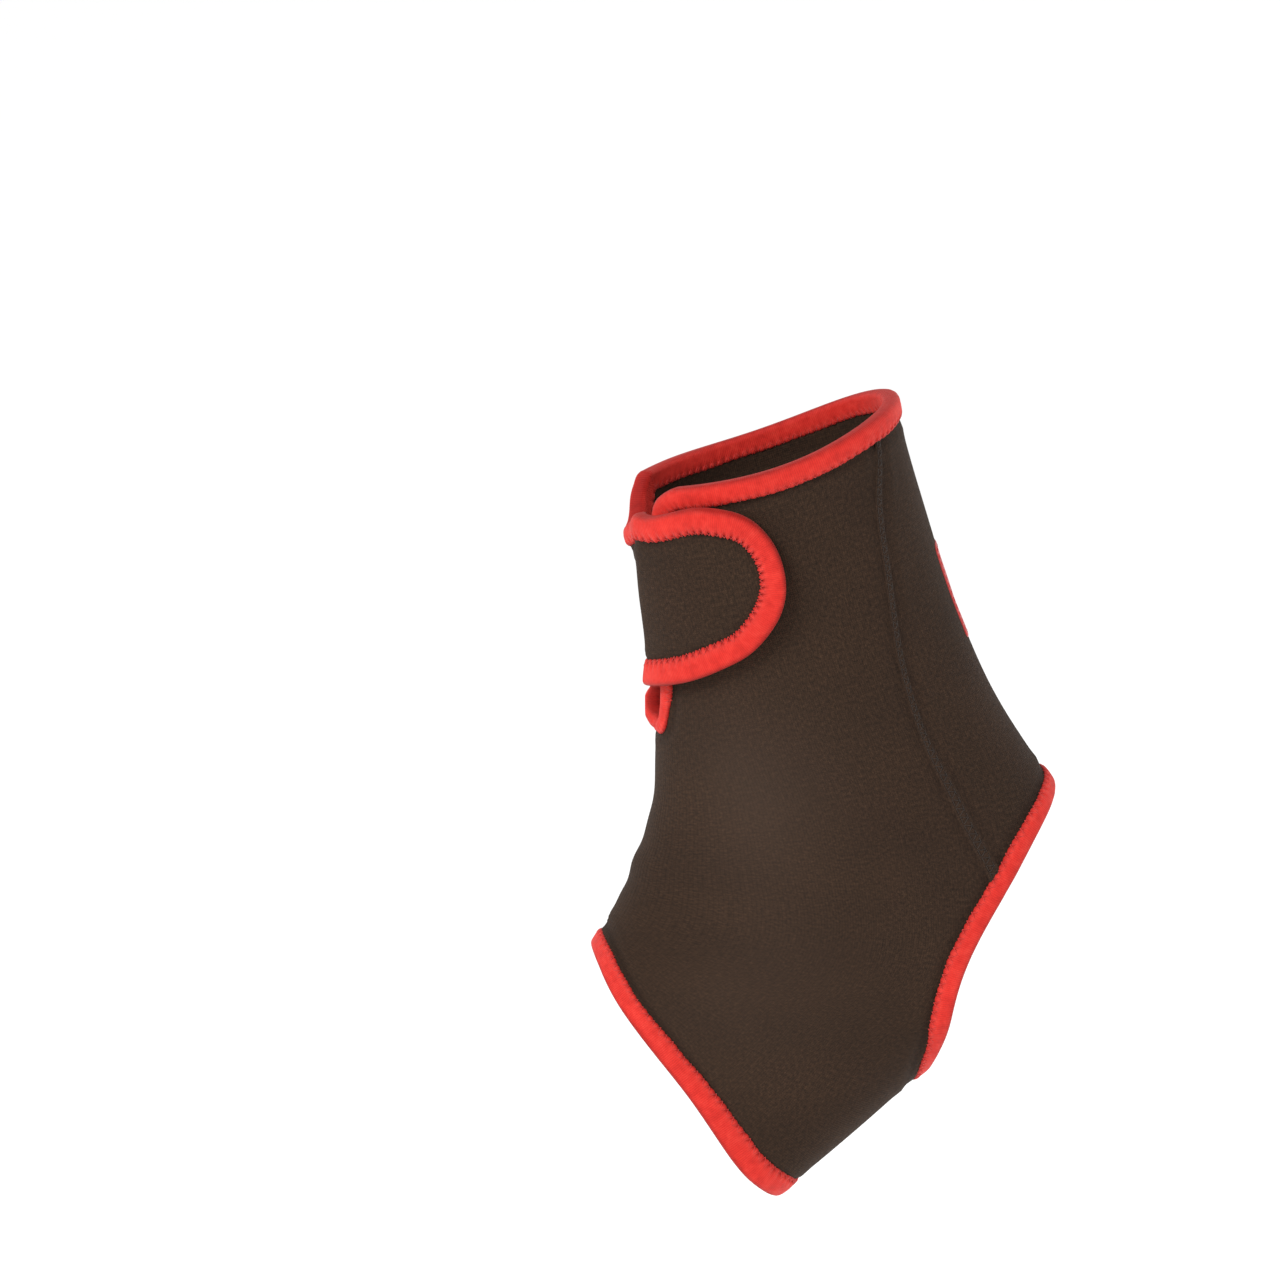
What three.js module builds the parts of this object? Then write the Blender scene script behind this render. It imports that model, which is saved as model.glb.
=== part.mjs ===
// An ankle brace as it sits on a left ankle: a neoprene wrap with an open heel
// and an open foot end, a slit at the front that a tab closes, and tape folded
// over every edge. Millimetres, +Z up the lower leg, -Y towards the toes, +X to
// the outer side. The origin is the middle of the ankle.
import * as THREE from 'three';

// ---------------------------------------------------------------- dimensions
const SHEET = 3.0;        // thickness of the neoprene
const TAPE = 0.7;         // thickness of the edge tape
const GAP = 0.38;         // clearance between pieces that lie on each other
const TAPE_IN = 5.6;      // how far the folded tape reaches in from an edge
const TAB_LIFT = SHEET + 2 * (TAPE + GAP) + GAP;    // tab above the panel it closes on
const TAPE_STEP = 1.6;    // shortest facet along a tape
const TAPE_TURN = 16;     // most that a tape turns in one facet, in degrees
const COLUMNS = 44;       // facets round the wrap
const CORNER_COLUMNS = [14, 15];   // those halved, at the corners of the sole
const ROWS = [            // facets along the wrap: from, to and step, in sections
  [0.62, 3.62, 0.50], [3.62, 4.46, 0.12], [4.46, 7.70, 0.80], [7.70, 11.90, 0.60], [11.90, 14.80, 0.74],
];
const LABEL = { across: 18, from: 2.98, to: 4.34, thick: 0.6 };
const HOOK = { inset: 10.4, start: 37, clear: 0.35 };

// Sections of the outer surface, from above the rim, down the shin, round the
// instep to the foot end. Front and back point in the side view, half widths
// to the outer and inner side, where the section is widest as a share of its
// length, roundness of its front and back half, and the side shift of the
// front ridge.
const SECTIONS = [
  // name       frontY  frontZ  backY   backZ   outer  inner  widest  roundF roundB ridge
  ['above',     -17.4,  146.0,  59.5,  144.0,   38.5,  38.5,  0.50,   2.05,  2.15,   0.0],
  ['rim',       -23.9,  127.0,  57.0,  122.5,   36.5,  36.5,  0.50,   2.05,  2.15,   0.0],
  ['shin_a',    -29.3,  107.5,  54.4,  100.5,   35.2,  35.2,  0.51,   2.05,  2.15,   0.0],
  ['shin_b',    -34.3,   88.5,  52.3,   79.0,   34.6,  34.6,  0.52,   2.05,  2.15,   0.0],
  ['shin_c',    -40.2,   70.0,  51.0,   57.0,   34.8,  34.8,  0.54,   2.05,  2.15,  -0.5],
  ['ankle_a',   -48.0,   53.2,  51.5,   34.5,   35.6,  35.6,  0.56,   2.05,  2.15,  -1.0],
  ['ankle_b',   -54.6,   38.8,  54.7,   13.2,   36.4,  36.4,  0.57,   2.05,  2.15,  -1.5],
  ['ankle_c',   -61.6,   29.3,  58.5,   -7.8,   36.6,  36.6,  0.56,   2.08,  2.15,  -2.0],
  ['heel_a',    -67.6,   22.5,  60.0,  -30.0,   36.2,  36.0,  0.55,   2.10,  2.20,  -2.5],
  ['heel_b',    -73.0,   17.0,  50.0,  -52.0,   35.4,  35.0,  0.57,   2.15,  2.40,  -3.0],
  ['heel_c',    -77.8,   12.6,  28.0,  -65.0,   34.8,  34.4,  0.60,   2.20,  2.40,  -3.5],
  ['arch_a',    -82.0,    9.0,   3.0,  -66.0,   34.8,  34.2,  0.64,   2.20,  2.45,  -4.0],
  ['arch_b',    -85.6,    6.0, -22.0,  -71.8,   35.6,  34.8,  0.67,   2.20,  2.55,  -4.5],
  ['arch_c',    -89.0,    3.2, -46.0,  -78.3,   37.0,  36.0,  0.69,   2.20,  2.70,  -5.0],
  ['foot',      -92.5,    0.0, -69.0,  -84.0,   38.6,  37.4,  0.70,   2.20,  2.80,  -5.5],
  ['toe',       -97.0,   -4.0, -91.0,  -88.5,   40.0,  38.8,  0.70,   2.20,  2.80,  -6.0],
];

// Rises and hollows where the ankle bones and the tendon lie.
const MOUNDS = [
  // name               y      z    side  radius height
  ['outer_ankle_bone',  9.0,   6.0,   1,  15.0,  2.2],
  ['inner_ankle_bone', -4.0,  14.0,  -1,  15.0,  2.2],
  ['outer_hollow',     36.0,  18.0,   1,  14.0, -1.6],
  ['inner_hollow',     36.0,  18.0,  -1,  14.0, -1.6],
];

// Edges of the sheet in the side view.
const RIM_EDGE = [
  // y      z
  [-34.0, 130.4], [-16.0, 128.0], [0.0, 125.2], [15.0, 123.2],
  [30.0, 122.6], [45.0, 123.2], [64.0, 124.6],
];
const FOOT_EDGE = [
  [-90.4, 22.0], [-87.4, 4.5], [-86.7, -5.0], [-84.8, -13.4], [-81.0, -26.0],
  [-77.0, -40.0], [-74.0, -55.0], [-70.4, -69.5], [-66.0, -80.0], [-61.0, -94.0],
];
const HEEL_EDGE = [
  [72.0, 2.6], [57.0, -3.2], [44.5, -9.2], [27.8, -20.2], [12.2, -33.1],
  [3.9, -43.0], [-3.0, -53.6], [-7.8, -60.2], [-12.4, -68.0], [-15.6, -78.0],
];

// Edges near the front slit, as angle round the section in degrees (0 is the
// front, 90 the outer side) and place along the sections.
const SLIT = 6.2;          // middle of the slit
const SLIT_END = 4.44;     // its lower end
const OUTER_EDGE = [
  // angle  section
  [SLIT, SLIT_END], [7.6, 4.34], [8.6, 4.12], [9.6, 3.8], [13.8, 3.0], [18.2, 2.2],
  [22.0, 1.55], [23.4, 1.30], [26.6, 1.10], [33.5, 0.98], [43.0, 0.91], [58.0, 0.75],
  [80.0, 0.30],
];
const TAB_EDGE = [
  [-34.0, 0.58], [-27.0, 0.74], [-20.5, 1.11], [-13.5, 1.44], [-6.0, 1.48], [3.0, 1.36],
  [12.5, 1.25], [21.0, 1.25], [28.0, 1.28], [38.0, 1.26], [49.0, 1.25], [58.3, 1.33], [66.3, 1.46], [72.4, 1.64], [76.6, 1.88],
  [78.9, 2.13], [79.4, 2.40], [78.1, 2.66], [74.7, 2.90], [69.5, 3.10], [62.4, 3.29],
  [54.5, 3.44], [45.5, 3.54], [36.5, 3.63], [27.0, 3.70], [17.0, 3.75], [9.6, 3.79],
  [4.8, 3.86], [3.0, 3.98], [2.8, 4.14], [4.0, 4.33], [SLIT, SLIT_END],
];
const MM_PER_DEG = 0.78;   // flat scale of the two tables above
const MM_PER_SECTION = 19.4;

// ------------------------------------------------------------------- curves
function spline(xs, ys) {            // natural cubic through the points
  const n = xs.length, m = new Array(n).fill(0), u = new Array(n).fill(0);
  for (let i = 1; i < n - 1; i++) {
    const sig = (xs[i] - xs[i - 1]) / (xs[i + 1] - xs[i - 1]);
    const p = sig * m[i - 1] + 2;
    m[i] = (sig - 1) / p;
    const d = (ys[i + 1] - ys[i]) / (xs[i + 1] - xs[i]) - (ys[i] - ys[i - 1]) / (xs[i] - xs[i - 1]);
    u[i] = (6 * d / (xs[i + 1] - xs[i - 1]) - sig * u[i - 1]) / p;
  }
  for (let i = n - 2; i >= 0; i--) m[i] = m[i] * m[i + 1] + u[i];
  return (x) => {
    let i = 0;
    while (i < n - 2 && x > xs[i + 1]) i++;
    const h = xs[i + 1] - xs[i];
    if (x < xs[0] || x > xs[n - 1]) {  // straight on past the ends
      const e = x < xs[0] ? 0 : n - 1;
      const s = (ys[i + 1] - ys[i]) / h + (e === 0 ? -h * (2 * m[i] + m[i + 1]) / 6 : h * (m[i] + 2 * m[i + 1]) / 6);
      return ys[e] + s * (x - xs[e]);
    }
    const a = (xs[i + 1] - x) / h, b = 1 - a;
    return a * ys[i] + b * ys[i + 1] + ((a * a * a - a) * m[i] + (b * b * b - b) * m[i + 1]) * h * h / 6;
  };
}

const index = SECTIONS.map((_, i) => i);
const column = (k) => spline(index, SECTIONS.map((r) => r[k]));
const [frontY, frontZ, backY, backZ, outerW, innerW, widest, roundF, roundB, ridge] =
  [1, 2, 3, 4, 5, 6, 7, 8, 9, 10].map(column);

// Signed distance to an edge that is drawn in the side view, positive on its left.
function sideOf(rows) {
  const [a0, b0] = rows[0], [a1, b1] = rows[rows.length - 1];
  const len = Math.hypot(a1 - a0, b1 - b0), dy = (a1 - a0) / len, dz = (b1 - b0) / len;
  const along = rows.map(([y, z]) => (y - a0) * dy + (z - b0) * dz);
  const off = rows.map(([y, z]) => -(y - a0) * dz + (z - b0) * dy);
  const f = spline(along, off);
  return (y, z) => -(y - a0) * dz + (z - b0) * dy - f((y - a0) * dy + (z - b0) * dz);
}
const aboveRim = sideOf(RIM_EDGE);
const pastFoot = sideOf(FOOT_EDGE);
const pastHeel = sideOf(HEEL_EDGE);

// Signed distance to an edge in the flat of angle and section, positive on the
// side of the sheet.
function flatEdge(rows) {
  const at = rows.map((_, i) => i);
  const fx = spline(at, rows.map((r) => r[0] * MM_PER_DEG));
  const fy = spline(at, rows.map((r) => r[1] * MM_PER_SECTION));
  const pts = [];
  for (let i = 0; i <= (rows.length - 1) * 6; i++) pts.push([fx(i / 6), fy(i / 6)]);
  return (angle, section) => {
    const x = angle * MM_PER_DEG, y = section * MM_PER_SECTION;
    let best = 1e9, sign = 1;
    for (let i = 0; i + 1 < pts.length; i++) {
      const [ax, ay] = pts[i], [bx, by] = pts[i + 1];
      const ex = bx - ax, ey = by - ay, l2 = ex * ex + ey * ey;
      const raw = ((x - ax) * ex + (y - ay) * ey) / l2;
      const t = Math.min(1, Math.max(0, raw));
      const d = Math.hypot(x - ax - t * ex, y - ay - t * ey);
      if (d < best - 1e-9) {
        best = d;
        let cross = ex * (y - ay) - ey * (x - ax);
        if (raw >= 1 && i + 2 < pts.length) {       // at a corner both edges decide
          const [cx, cy] = pts[i + 2], gx = cx - bx, gy = cy - by;
          const l = Math.sqrt(l2), g = Math.hypot(gx, gy);
          cross = (ex / l + gx / g) * (y - by) - (ey / l + gy / g) * (x - bx);
        }
        sign = cross >= 0 ? 1 : -1;
      }
    }
    return sign * best;
  };
}
const fromOuterEdge = flatEdge(OUTER_EDGE);
const fromTabEdge = flatEdge(TAB_EDGE);
const outerEdgeAngle = spline(
  OUTER_EDGE.slice(3, 9).map((r) => r[1]).reverse(),
  OUTER_EDGE.slice(3, 9).map((r) => r[0]).reverse(),
);

// ------------------------------------------------------------------ surface
const smooth = (t) => { const c = Math.min(1, Math.max(0, t)); return c * c * (3 - 2 * c); };

// Outer surface of the ankle part at a section and an angle in degrees.
function skin(section, angle) {
  const t = angle * Math.PI / 180, c = Math.cos(t), sn = Math.sin(t);
  const fy = frontY(section), fz = frontZ(section);
  const len = Math.hypot(backY(section) - fy, backZ(section) - fz);
  const ay = (backY(section) - fy) / len, az = (backZ(section) - fz) / len;
  const w = sn >= 0 ? outerW(section) : innerW(section), m = widest(section);
  const a = c >= 0 ? len * m : len * (1 - m);
  const n = roundF(section) * (1 + c) / 2 + roundB(section) * (1 - c) / 2;
  const r = Math.pow(Math.pow(Math.abs(c / a), n) + Math.pow(Math.abs(sn / w), n), -1 / n);
  const d = len * m - r * c;
  let x = r * sn;
  const y = fy + ay * d, z = fz + az * d;
  const q = x / w;
  for (const [, my, mz, side, radius, height] of MOUNDS) {
    if (q * side > 0) x += side * height * q * side * Math.exp(-((y - my) ** 2 + (z - mz) ** 2) / (radius * radius));
  }
  return [x + ridge(section) * (1 + c) / 2, y, z];
}

const minus = (a, b) => [a[0] - b[0], a[1] - b[1], a[2] - b[2]];
const cross = (a, b) => [a[1] * b[2] - a[2] * b[1], a[2] * b[0] - a[0] * b[2], a[0] * b[1] - a[1] * b[0]];
const dot = (a, b) => a[0] * b[0] + a[1] * b[1] + a[2] * b[2];
const unit = (a) => { const l = Math.hypot(...a); return [a[0] / l, a[1] / l, a[2] / l]; };
const add = (a, b, k) => [a[0] + b[0] * k, a[1] + b[1] * k, a[2] + b[2] * k];

function outward(section, angle) {
  const ds = minus(skin(section + 0.01, angle), skin(section - 0.01, angle));
  const da = minus(skin(section, angle + 0.2), skin(section, angle - 0.2));
  return unit(cross(ds, da));
}

// The inner panel runs on past 360 degrees as the tab, which rises over the
// outer panel before it reaches that panel's edge.
function lift(section, angle) {
  if (angle < 180 || section > SLIT_END - 0.01) return 0;
  const edge = outerEdgeAngle(Math.min(3.8, Math.max(1.10, section)));
  return TAB_LIFT * smooth((angle - 360 - edge + 31) / 28) * smooth((SLIT_END - 0.01 - section) / 0.66);
}

// A point of the sheet: high is 0 on its outer face and -SHEET on its inner one.
function sheet(section, angle, high) {
  return add(skin(section, angle), outward(section, angle), lift(section, angle) + high);
}

// How far inside the sheet a place is, in millimetres.
function inside(section, angle) {
  const [, y, z] = skin(section, angle);
  let g = 1e3;
  if (section < 3) g = Math.min(g, -aboveRim(y, z));
  if (section > 8) g = Math.min(g, pastFoot(y, z) + 0.4);
  if (section > 4.5) g = Math.min(g, 0.4 - pastHeel(y, z));
  if (angle < 120 && section < 8) g = Math.min(g, fromOuterEdge(angle, section));
  if (angle > 260 && section < 8) g = Math.min(g, fromTabEdge(angle - 360, section));
  return g;
}

// -------------------------------------------------------------------- sheets
// A grid over (section, angle), cut along inside() = 0. Corners close to the
// cut are moved onto it first, so that no sliver is left.
function cutGrid(sections, angles, keep, reach, unused = () => false) {
  const nr = sections.length, nc = angles.length, verts = [], value = [], off = [];
  for (const s of sections) for (const a of angles) {
    verts.push([s, a]);
    value.push(keep(s, a));
    off.push(unused(s, a));
  }
  const root = (i, j) => {                  // where keep() is 0 between two corners
    let lo = verts[i], hi = verts[j];
    for (let k = 0; k < 40; k++) {
      const mid = [(lo[0] + hi[0]) / 2, (lo[1] + hi[1]) / 2];
      if (keep(...mid) > 0) lo = mid; else hi = mid;
    }
    return lo;
  };
  const at = (r, c) => r * nc + c;
  const moved = new Map();
  for (let r = 0; r < nr; r++) for (let c = 0; c < nc; c++) {
    const i = at(r, c);
    let best = null, bestT = reach;
    for (const [dr, dc] of [[0, 1], [0, -1], [1, 0], [-1, 0]]) {
      const rr = r + dr, cc = c + dc;
      if (rr < 0 || cc < 0 || rr >= nr || cc >= nc) continue;
      const j = at(rr, cc);
      if (off[j] || value[i] > 0 === value[j] > 0) continue;
      const p = value[i] > 0 ? root(i, j) : root(j, i);
      const t = Math.abs(dr ? (p[0] - verts[i][0]) / (verts[j][0] - verts[i][0]) : (p[1] - verts[i][1]) / (verts[j][1] - verts[i][1]));
      if (t < bestT) { bestT = t; best = p; }
    }
    if (best) moved.set(i, best);
  }
  for (const [i, p] of moved) { verts[i] = p; value[i] = 0; }
  const cut = new Map();
  const cutAt = (i, j) => {                 // i is kept, j is not
    const key = i < j ? `${i},${j}` : `${j},${i}`;
    if (!cut.has(key)) { cut.set(key, verts.length); verts.push(root(i, j)); }
    return cut.get(key);
  };
  const faces = [];
  for (let r = 0; r + 1 < nr; r++) for (let c = 0; c + 1 < nc; c++) {
    const quad = [at(r, c), at(r + 1, c), at(r + 1, c + 1), at(r, c + 1)], poly = [];
    if (quad.some((i) => off[i]) || !quad.some((i) => value[i] > 0)) continue;
    for (let k = 0; k < 4; k++) {
      const i = quad[k], j = quad[(k + 1) % 4];
      if (value[i] >= 0) poly.push(i);
      if (value[i] > 0 && value[j] < 0) poly.push(cutAt(i, j));
      if (value[i] < 0 && value[j] > 0) poly.push(cutAt(j, i));
    }
    for (let k = 1; k + 1 < poly.length; k++) faces.push([poly[0], poly[k], poly[k + 1]]);
  }
  return { verts, faces };
}

// The grid's corners joined where they are at one place, and its edge loops.
function weld({ verts, faces }) {
  const seen = new Map(), out = [], to = [];
  for (const v of verts) {
    const p = sheet(v[0], v[1], 0), key = p.map((q) => Math.round(q * 500)).join();
    if (!seen.has(key)) { seen.set(key, out.length); out.push(v); }
    to.push(seen.get(key));
  }
  const tris = faces.map((f) => f.map((i) => to[i])).filter(([a, b, c]) => a !== b && b !== c && c !== a);
  const edges = new Set(tris.flatMap(([a, b, c]) => [`${a},${b}`, `${b},${c}`, `${c},${a}`]));
  const next = new Map();
  for (const e of edges) {
    const [a, b] = e.split(',').map(Number);
    if (!edges.has(`${b},${a}`)) next.set(a, b);
  }
  const loops = [];
  while (next.size) {
    const loop = [];
    let i = next.keys().next().value;
    while (next.has(i)) { loop.push(i); const j = next.get(i); next.delete(i); i = j; }
    loops.push(loop);
  }
  return { verts: out, tris, loops };
}

// A closed solid between two heights over a cut grid.
function slab({ verts, tris, loops }, top, bottom) {
  const points = [], faces = [];
  for (const high of [top, bottom]) for (const [s, a] of verts) points.push(sheet(s, a, high));
  const n = verts.length;
  for (const [a, b, c] of tris) { faces.push([a, b, c]); faces.push([n + a, n + c, n + b]); }
  for (const loop of loops) loop.forEach((i, k) => {
    const j = loop[(k + 1) % loop.length];
    faces.push([i, n + i, n + j], [i, n + j, j]);
  });
  return solid(points, faces);
}

function solid(points, faces) {
  const geometry = new THREE.BufferGeometry();
  geometry.setAttribute('position', new THREE.Float32BufferAttribute(points.flat(), 3));
  geometry.setIndex(faces.flat());
  let volume = 0;
  for (const [a, b, c] of faces) volume += dot(points[a], cross(points[b], points[c]));
  if (volume < 0) geometry.setIndex(faces.flatMap(([a, b, c]) => [a, c, b]));
  geometry.computeVertexNormals();
  return geometry;
}

// --------------------------------------------------------------------- tapes
// Corners of an edge loop, without those that lie close together.
function stations(mesh, loop, least) {
  const out = [];
  let last = null;
  const near = (p, q) => Math.hypot(...minus(p, q)) < least;
  for (const i of loop) {
    const place = mesh.verts[i], p = sheet(...place, 0);
    if (last && near(p, last)) continue;
    out.push(place);
    last = p;
  }
  if (near(last, sheet(...out[0], 0))) out.pop();
  return out;
}

// One step over the sheet from a place, in a direction given in space.
function walk(section, angle, direction, distance) {
  const steps = Math.max(1, Math.ceil(Math.abs(distance) / 2.4));
  for (let k = 0; k < steps; k++) {
    const p = sheet(section, angle, 0);
    const ds = minus(sheet(section + 0.01, angle, 0), p).map((v) => v / 0.01);
    const da = minus(sheet(section, angle + 0.1, 0), p).map((v) => v / 0.1);
    const ss = dot(ds, ds), sa = dot(ds, da), aa = dot(da, da);
    const rs = dot(ds, direction), ra = dot(da, direction), det = ss * aa - sa * sa;
    let us = (rs * aa - ra * sa) / det, ua = (ra * ss - rs * sa) / det;
    const l = Math.hypot(...add(ds.map((v) => v * us), da, ua));
    us *= distance / steps / l; ua *= distance / steps / l;
    section += us; angle += ua;
  }
  return [section, angle];
}

// Tape folded over the edge: in is the distance from the edge, high the height
// over the outer face.
const TAPE_SECTION = [
  // in                       high
  [TAPE_IN,                   GAP + 0.35],
  [TAPE_IN,                   GAP + TAPE],
  [0.3,                       GAP + TAPE + 0.05],
  [-GAP - TAPE * 0.9,         -0.3],
  [-GAP - TAPE * 0.9,         -SHEET + 0.3],
  [0.3,                       -SHEET - GAP - TAPE],
  [TAPE_IN,                   -SHEET - GAP - TAPE - 0.2],
  [TAPE_IN,                   -SHEET - GAP - 0.4],
  [-GAP,                      -SHEET - GAP],
  [-GAP,                      GAP + 0.15],
];
const nearSlitEnd = (s, a) => Math.abs((a + 180) % 360 - 180 - SLIT) < 30 ? smooth((s - 3.9) / 0.4) * smooth((5 - s) / 0.3) : 0;
function tape(mesh, loop, least) {
  const places = stations(mesh, loop, least), n = places.length, m = TAPE_SECTION.length;
  const pos = places.map(([s, a]) => sheet(s, a, 0)), points = [], faces = [];
  const straight = places.map(([s, a], i) => {
    const along = unit(minus(pos[(i + 1) % n], pos[(i + n - 1) % n]));
    return unit(cross(outward(s, a), along));
  });
  const ways = straight.map((w, i) => unit(add(add(w, straight[(i + 1) % n], 0.25), straight[(i + n - 1) % n], 0.25)));
  const ring = ([s, a], way) => {
    for (const [into, high] of TAPE_SECTION) {
      const far = into > 1 ? into * (1 - 0.4 * nearSlitEnd(s, a)) : into;
      const [s1, a1] = walk(s, a, way, far);
      points.push(add(skin(s1, a1), outward(s1, a1), lift(s1, a < 180 && a1 < 180 ? 0 : a1) + high));
    }
  };
  let rings = 0;
  places.forEach(([s, a], i) => {
    ring([s, a], ways[i]);
    rings++;
    const j = (i + 1) % n, [s1, a1] = places[j];
    if (Math.abs(a1 - a) > 180) return;
    const turn = Math.acos(Math.min(1, dot(ways[i], ways[j]))) * 180 / Math.PI;
    const extra = Math.floor(turn / TAPE_TURN);          // more facets round a corner
    for (let k = 1; k <= extra; k++) {
      const u = k / (extra + 1);
      ring([s + (s1 - s) * u, a + (a1 - a) * u], unit(add(ways[i].map((v) => v * (1 - u)), ways[j], u)));
      rings++;
    }
  });
  for (let i = 0; i < rings; i++) for (let k = 0; k < m; k++) {
    const j = (i + 1) % rings, l = (k + 1) % m;
    faces.push([i * m + k, j * m + k, j * m + l], [i * m + k, j * m + l, i * m + l]);
  }
  return solid(points, faces);
}

// -------------------------------------------------------------------- pieces
const sections = [];
for (const [from, to, step] of ROWS) {
  const n = Math.round((to - from) / step);
  for (let k = 0; k < n; k++) sections.push(from + (to - from) * k / n);
}
// closer columns at the front and back, where the sections turn fastest
const spread = (k) => {
  const e = 2 * Math.PI * k / COLUMNS;
  return Math.atan2(0.72 * Math.sin(e), Math.cos(e)) * 180 / Math.PI;
};
const angles = [];
for (let k = 0; k < COLUMNS; k++) {
  angles.push(SLIT + (k > COLUMNS / 2 ? 360 : 0) + spread(k));
  const close = k < 3 || k > COLUMNS - 5 || CORNER_COLUMNS.includes(Math.min(k, COLUMNS - 1 - k));
  if (close) angles.push(SLIT + (k >= COLUMNS / 2 ? 360 : 0) + spread(k + 0.5));
}
angles.push(SLIT + 360);
for (let k = 1; SLIT + spread(k) < 84; k++) angles.push(SLIT + 360 + spread(k));

const wrap = weld(cutGrid(sections, angles, inside, 0.36, (s, a) => s > 4.16 && a > SLIT + 360.1));
const loops = wrap.loops.map((loop) => {
  const y = loop.map((i) => sheet(...wrap.verts[i], 0)[1]), z = loop.map((i) => sheet(...wrap.verts[i], 0)[2]);
  return { loop, top: Math.max(...z), back: Math.max(...y) };
}).sort((a, b) => b.top - a.top);
const byPlace = { rim: loops[0], heel: loops.slice(1).sort((a, b) => b.back - a.back)[0] };
byPlace.foot = loops.slice(1).sort((a, b) => a.back - b.back)[0];

const materials = {
  neoprene: { color: 0x3a2f29, roughness: 0.9, metalness: 0 },
  tape: { color: 0xdc3a34, roughness: 0.75, metalness: 0 },
  hook: { color: 0x2a2320, roughness: 0.9, metalness: 0 },
  label: { color: 0xd23a36, roughness: 0.6, metalness: 0 },
};
const brace = new THREE.Group();
brace.name = 'ankle_brace';
function piece(name, geometry, material) {
  const mesh = new THREE.Mesh(geometry, new THREE.MeshStandardMaterial(materials[material]));
  mesh.name = name;
  brace.add(mesh);
}

piece('body', slab(wrap, 0, -SHEET), 'neoprene');
piece('rim_binding', tape(wrap, byPlace.rim.loop, TAPE_STEP), 'tape');
piece('heel_binding', tape(wrap, byPlace.heel.loop, TAPE_STEP), 'tape');
piece('foot_binding', tape(wrap, byPlace.foot.loop, TAPE_STEP), 'tape');

// Hook patch on the inner face of the tab, inside its tape.
const hookSections = [], hookAngles = [];
for (let s = 1.5; s < 3.4; s += 0.23) hookSections.push(s);
for (let a = HOOK.start; a < 76; a += 5.2) hookAngles.push(a);
const hook = weld(cutGrid(hookSections, hookAngles, (s, a) => fromTabEdge(a, s) - HOOK.inset, 0.36));
piece('hook_patch', slab(hook, TAB_LIFT - SHEET - HOOK.clear, HOOK.clear), 'hook');

// Plain patch at the back of the shaft.
const labelSections = [], labelAngles = [];
for (let k = 0; k <= 5; k++) labelSections.push(LABEL.from + (LABEL.to - LABEL.from) * k / 5);
for (let k = -3; k <= 3; k++) labelAngles.push(180 + k / 3 * Math.asin(LABEL.across / 2 / 43) * 180 / Math.PI);
const label = weld(cutGrid(labelSections, labelAngles, () => 1, 0.3));
piece('back_label', slab(label, GAP + LABEL.thick, GAP), 'label');

export default brace;
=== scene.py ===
import math

import bpy
import numpy as np
from mathutils import Matrix, Vector


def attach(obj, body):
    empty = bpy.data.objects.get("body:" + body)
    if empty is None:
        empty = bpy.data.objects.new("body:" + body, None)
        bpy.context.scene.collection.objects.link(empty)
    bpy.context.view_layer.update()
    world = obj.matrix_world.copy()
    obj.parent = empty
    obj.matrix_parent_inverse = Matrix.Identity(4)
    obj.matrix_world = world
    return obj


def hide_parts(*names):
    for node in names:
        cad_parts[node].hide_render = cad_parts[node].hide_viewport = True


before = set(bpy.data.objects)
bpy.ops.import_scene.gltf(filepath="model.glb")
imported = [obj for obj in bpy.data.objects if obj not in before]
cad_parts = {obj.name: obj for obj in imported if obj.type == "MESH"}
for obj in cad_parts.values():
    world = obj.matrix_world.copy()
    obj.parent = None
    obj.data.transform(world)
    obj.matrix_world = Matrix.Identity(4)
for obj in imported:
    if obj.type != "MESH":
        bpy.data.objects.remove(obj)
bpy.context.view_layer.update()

# ------------------------------------------------------------------ dimensions
# Millimetres here, metres in the meshes. The tables repeat those of the CAD
# model; the sheet lies a little closer where cloth is pressed on cloth.
SHEET = 2.8               # thickness of the neoprene
TAB_LIFT = 4.7            # tab above the panel that it closes on
TAPE_IN = 5.9             # how far the folded tape reaches in from an edge
PITCH = 2.8               # stitch length along the tapes and seams
GRID = 1.62               # spacing of the sheet's grid

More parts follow.
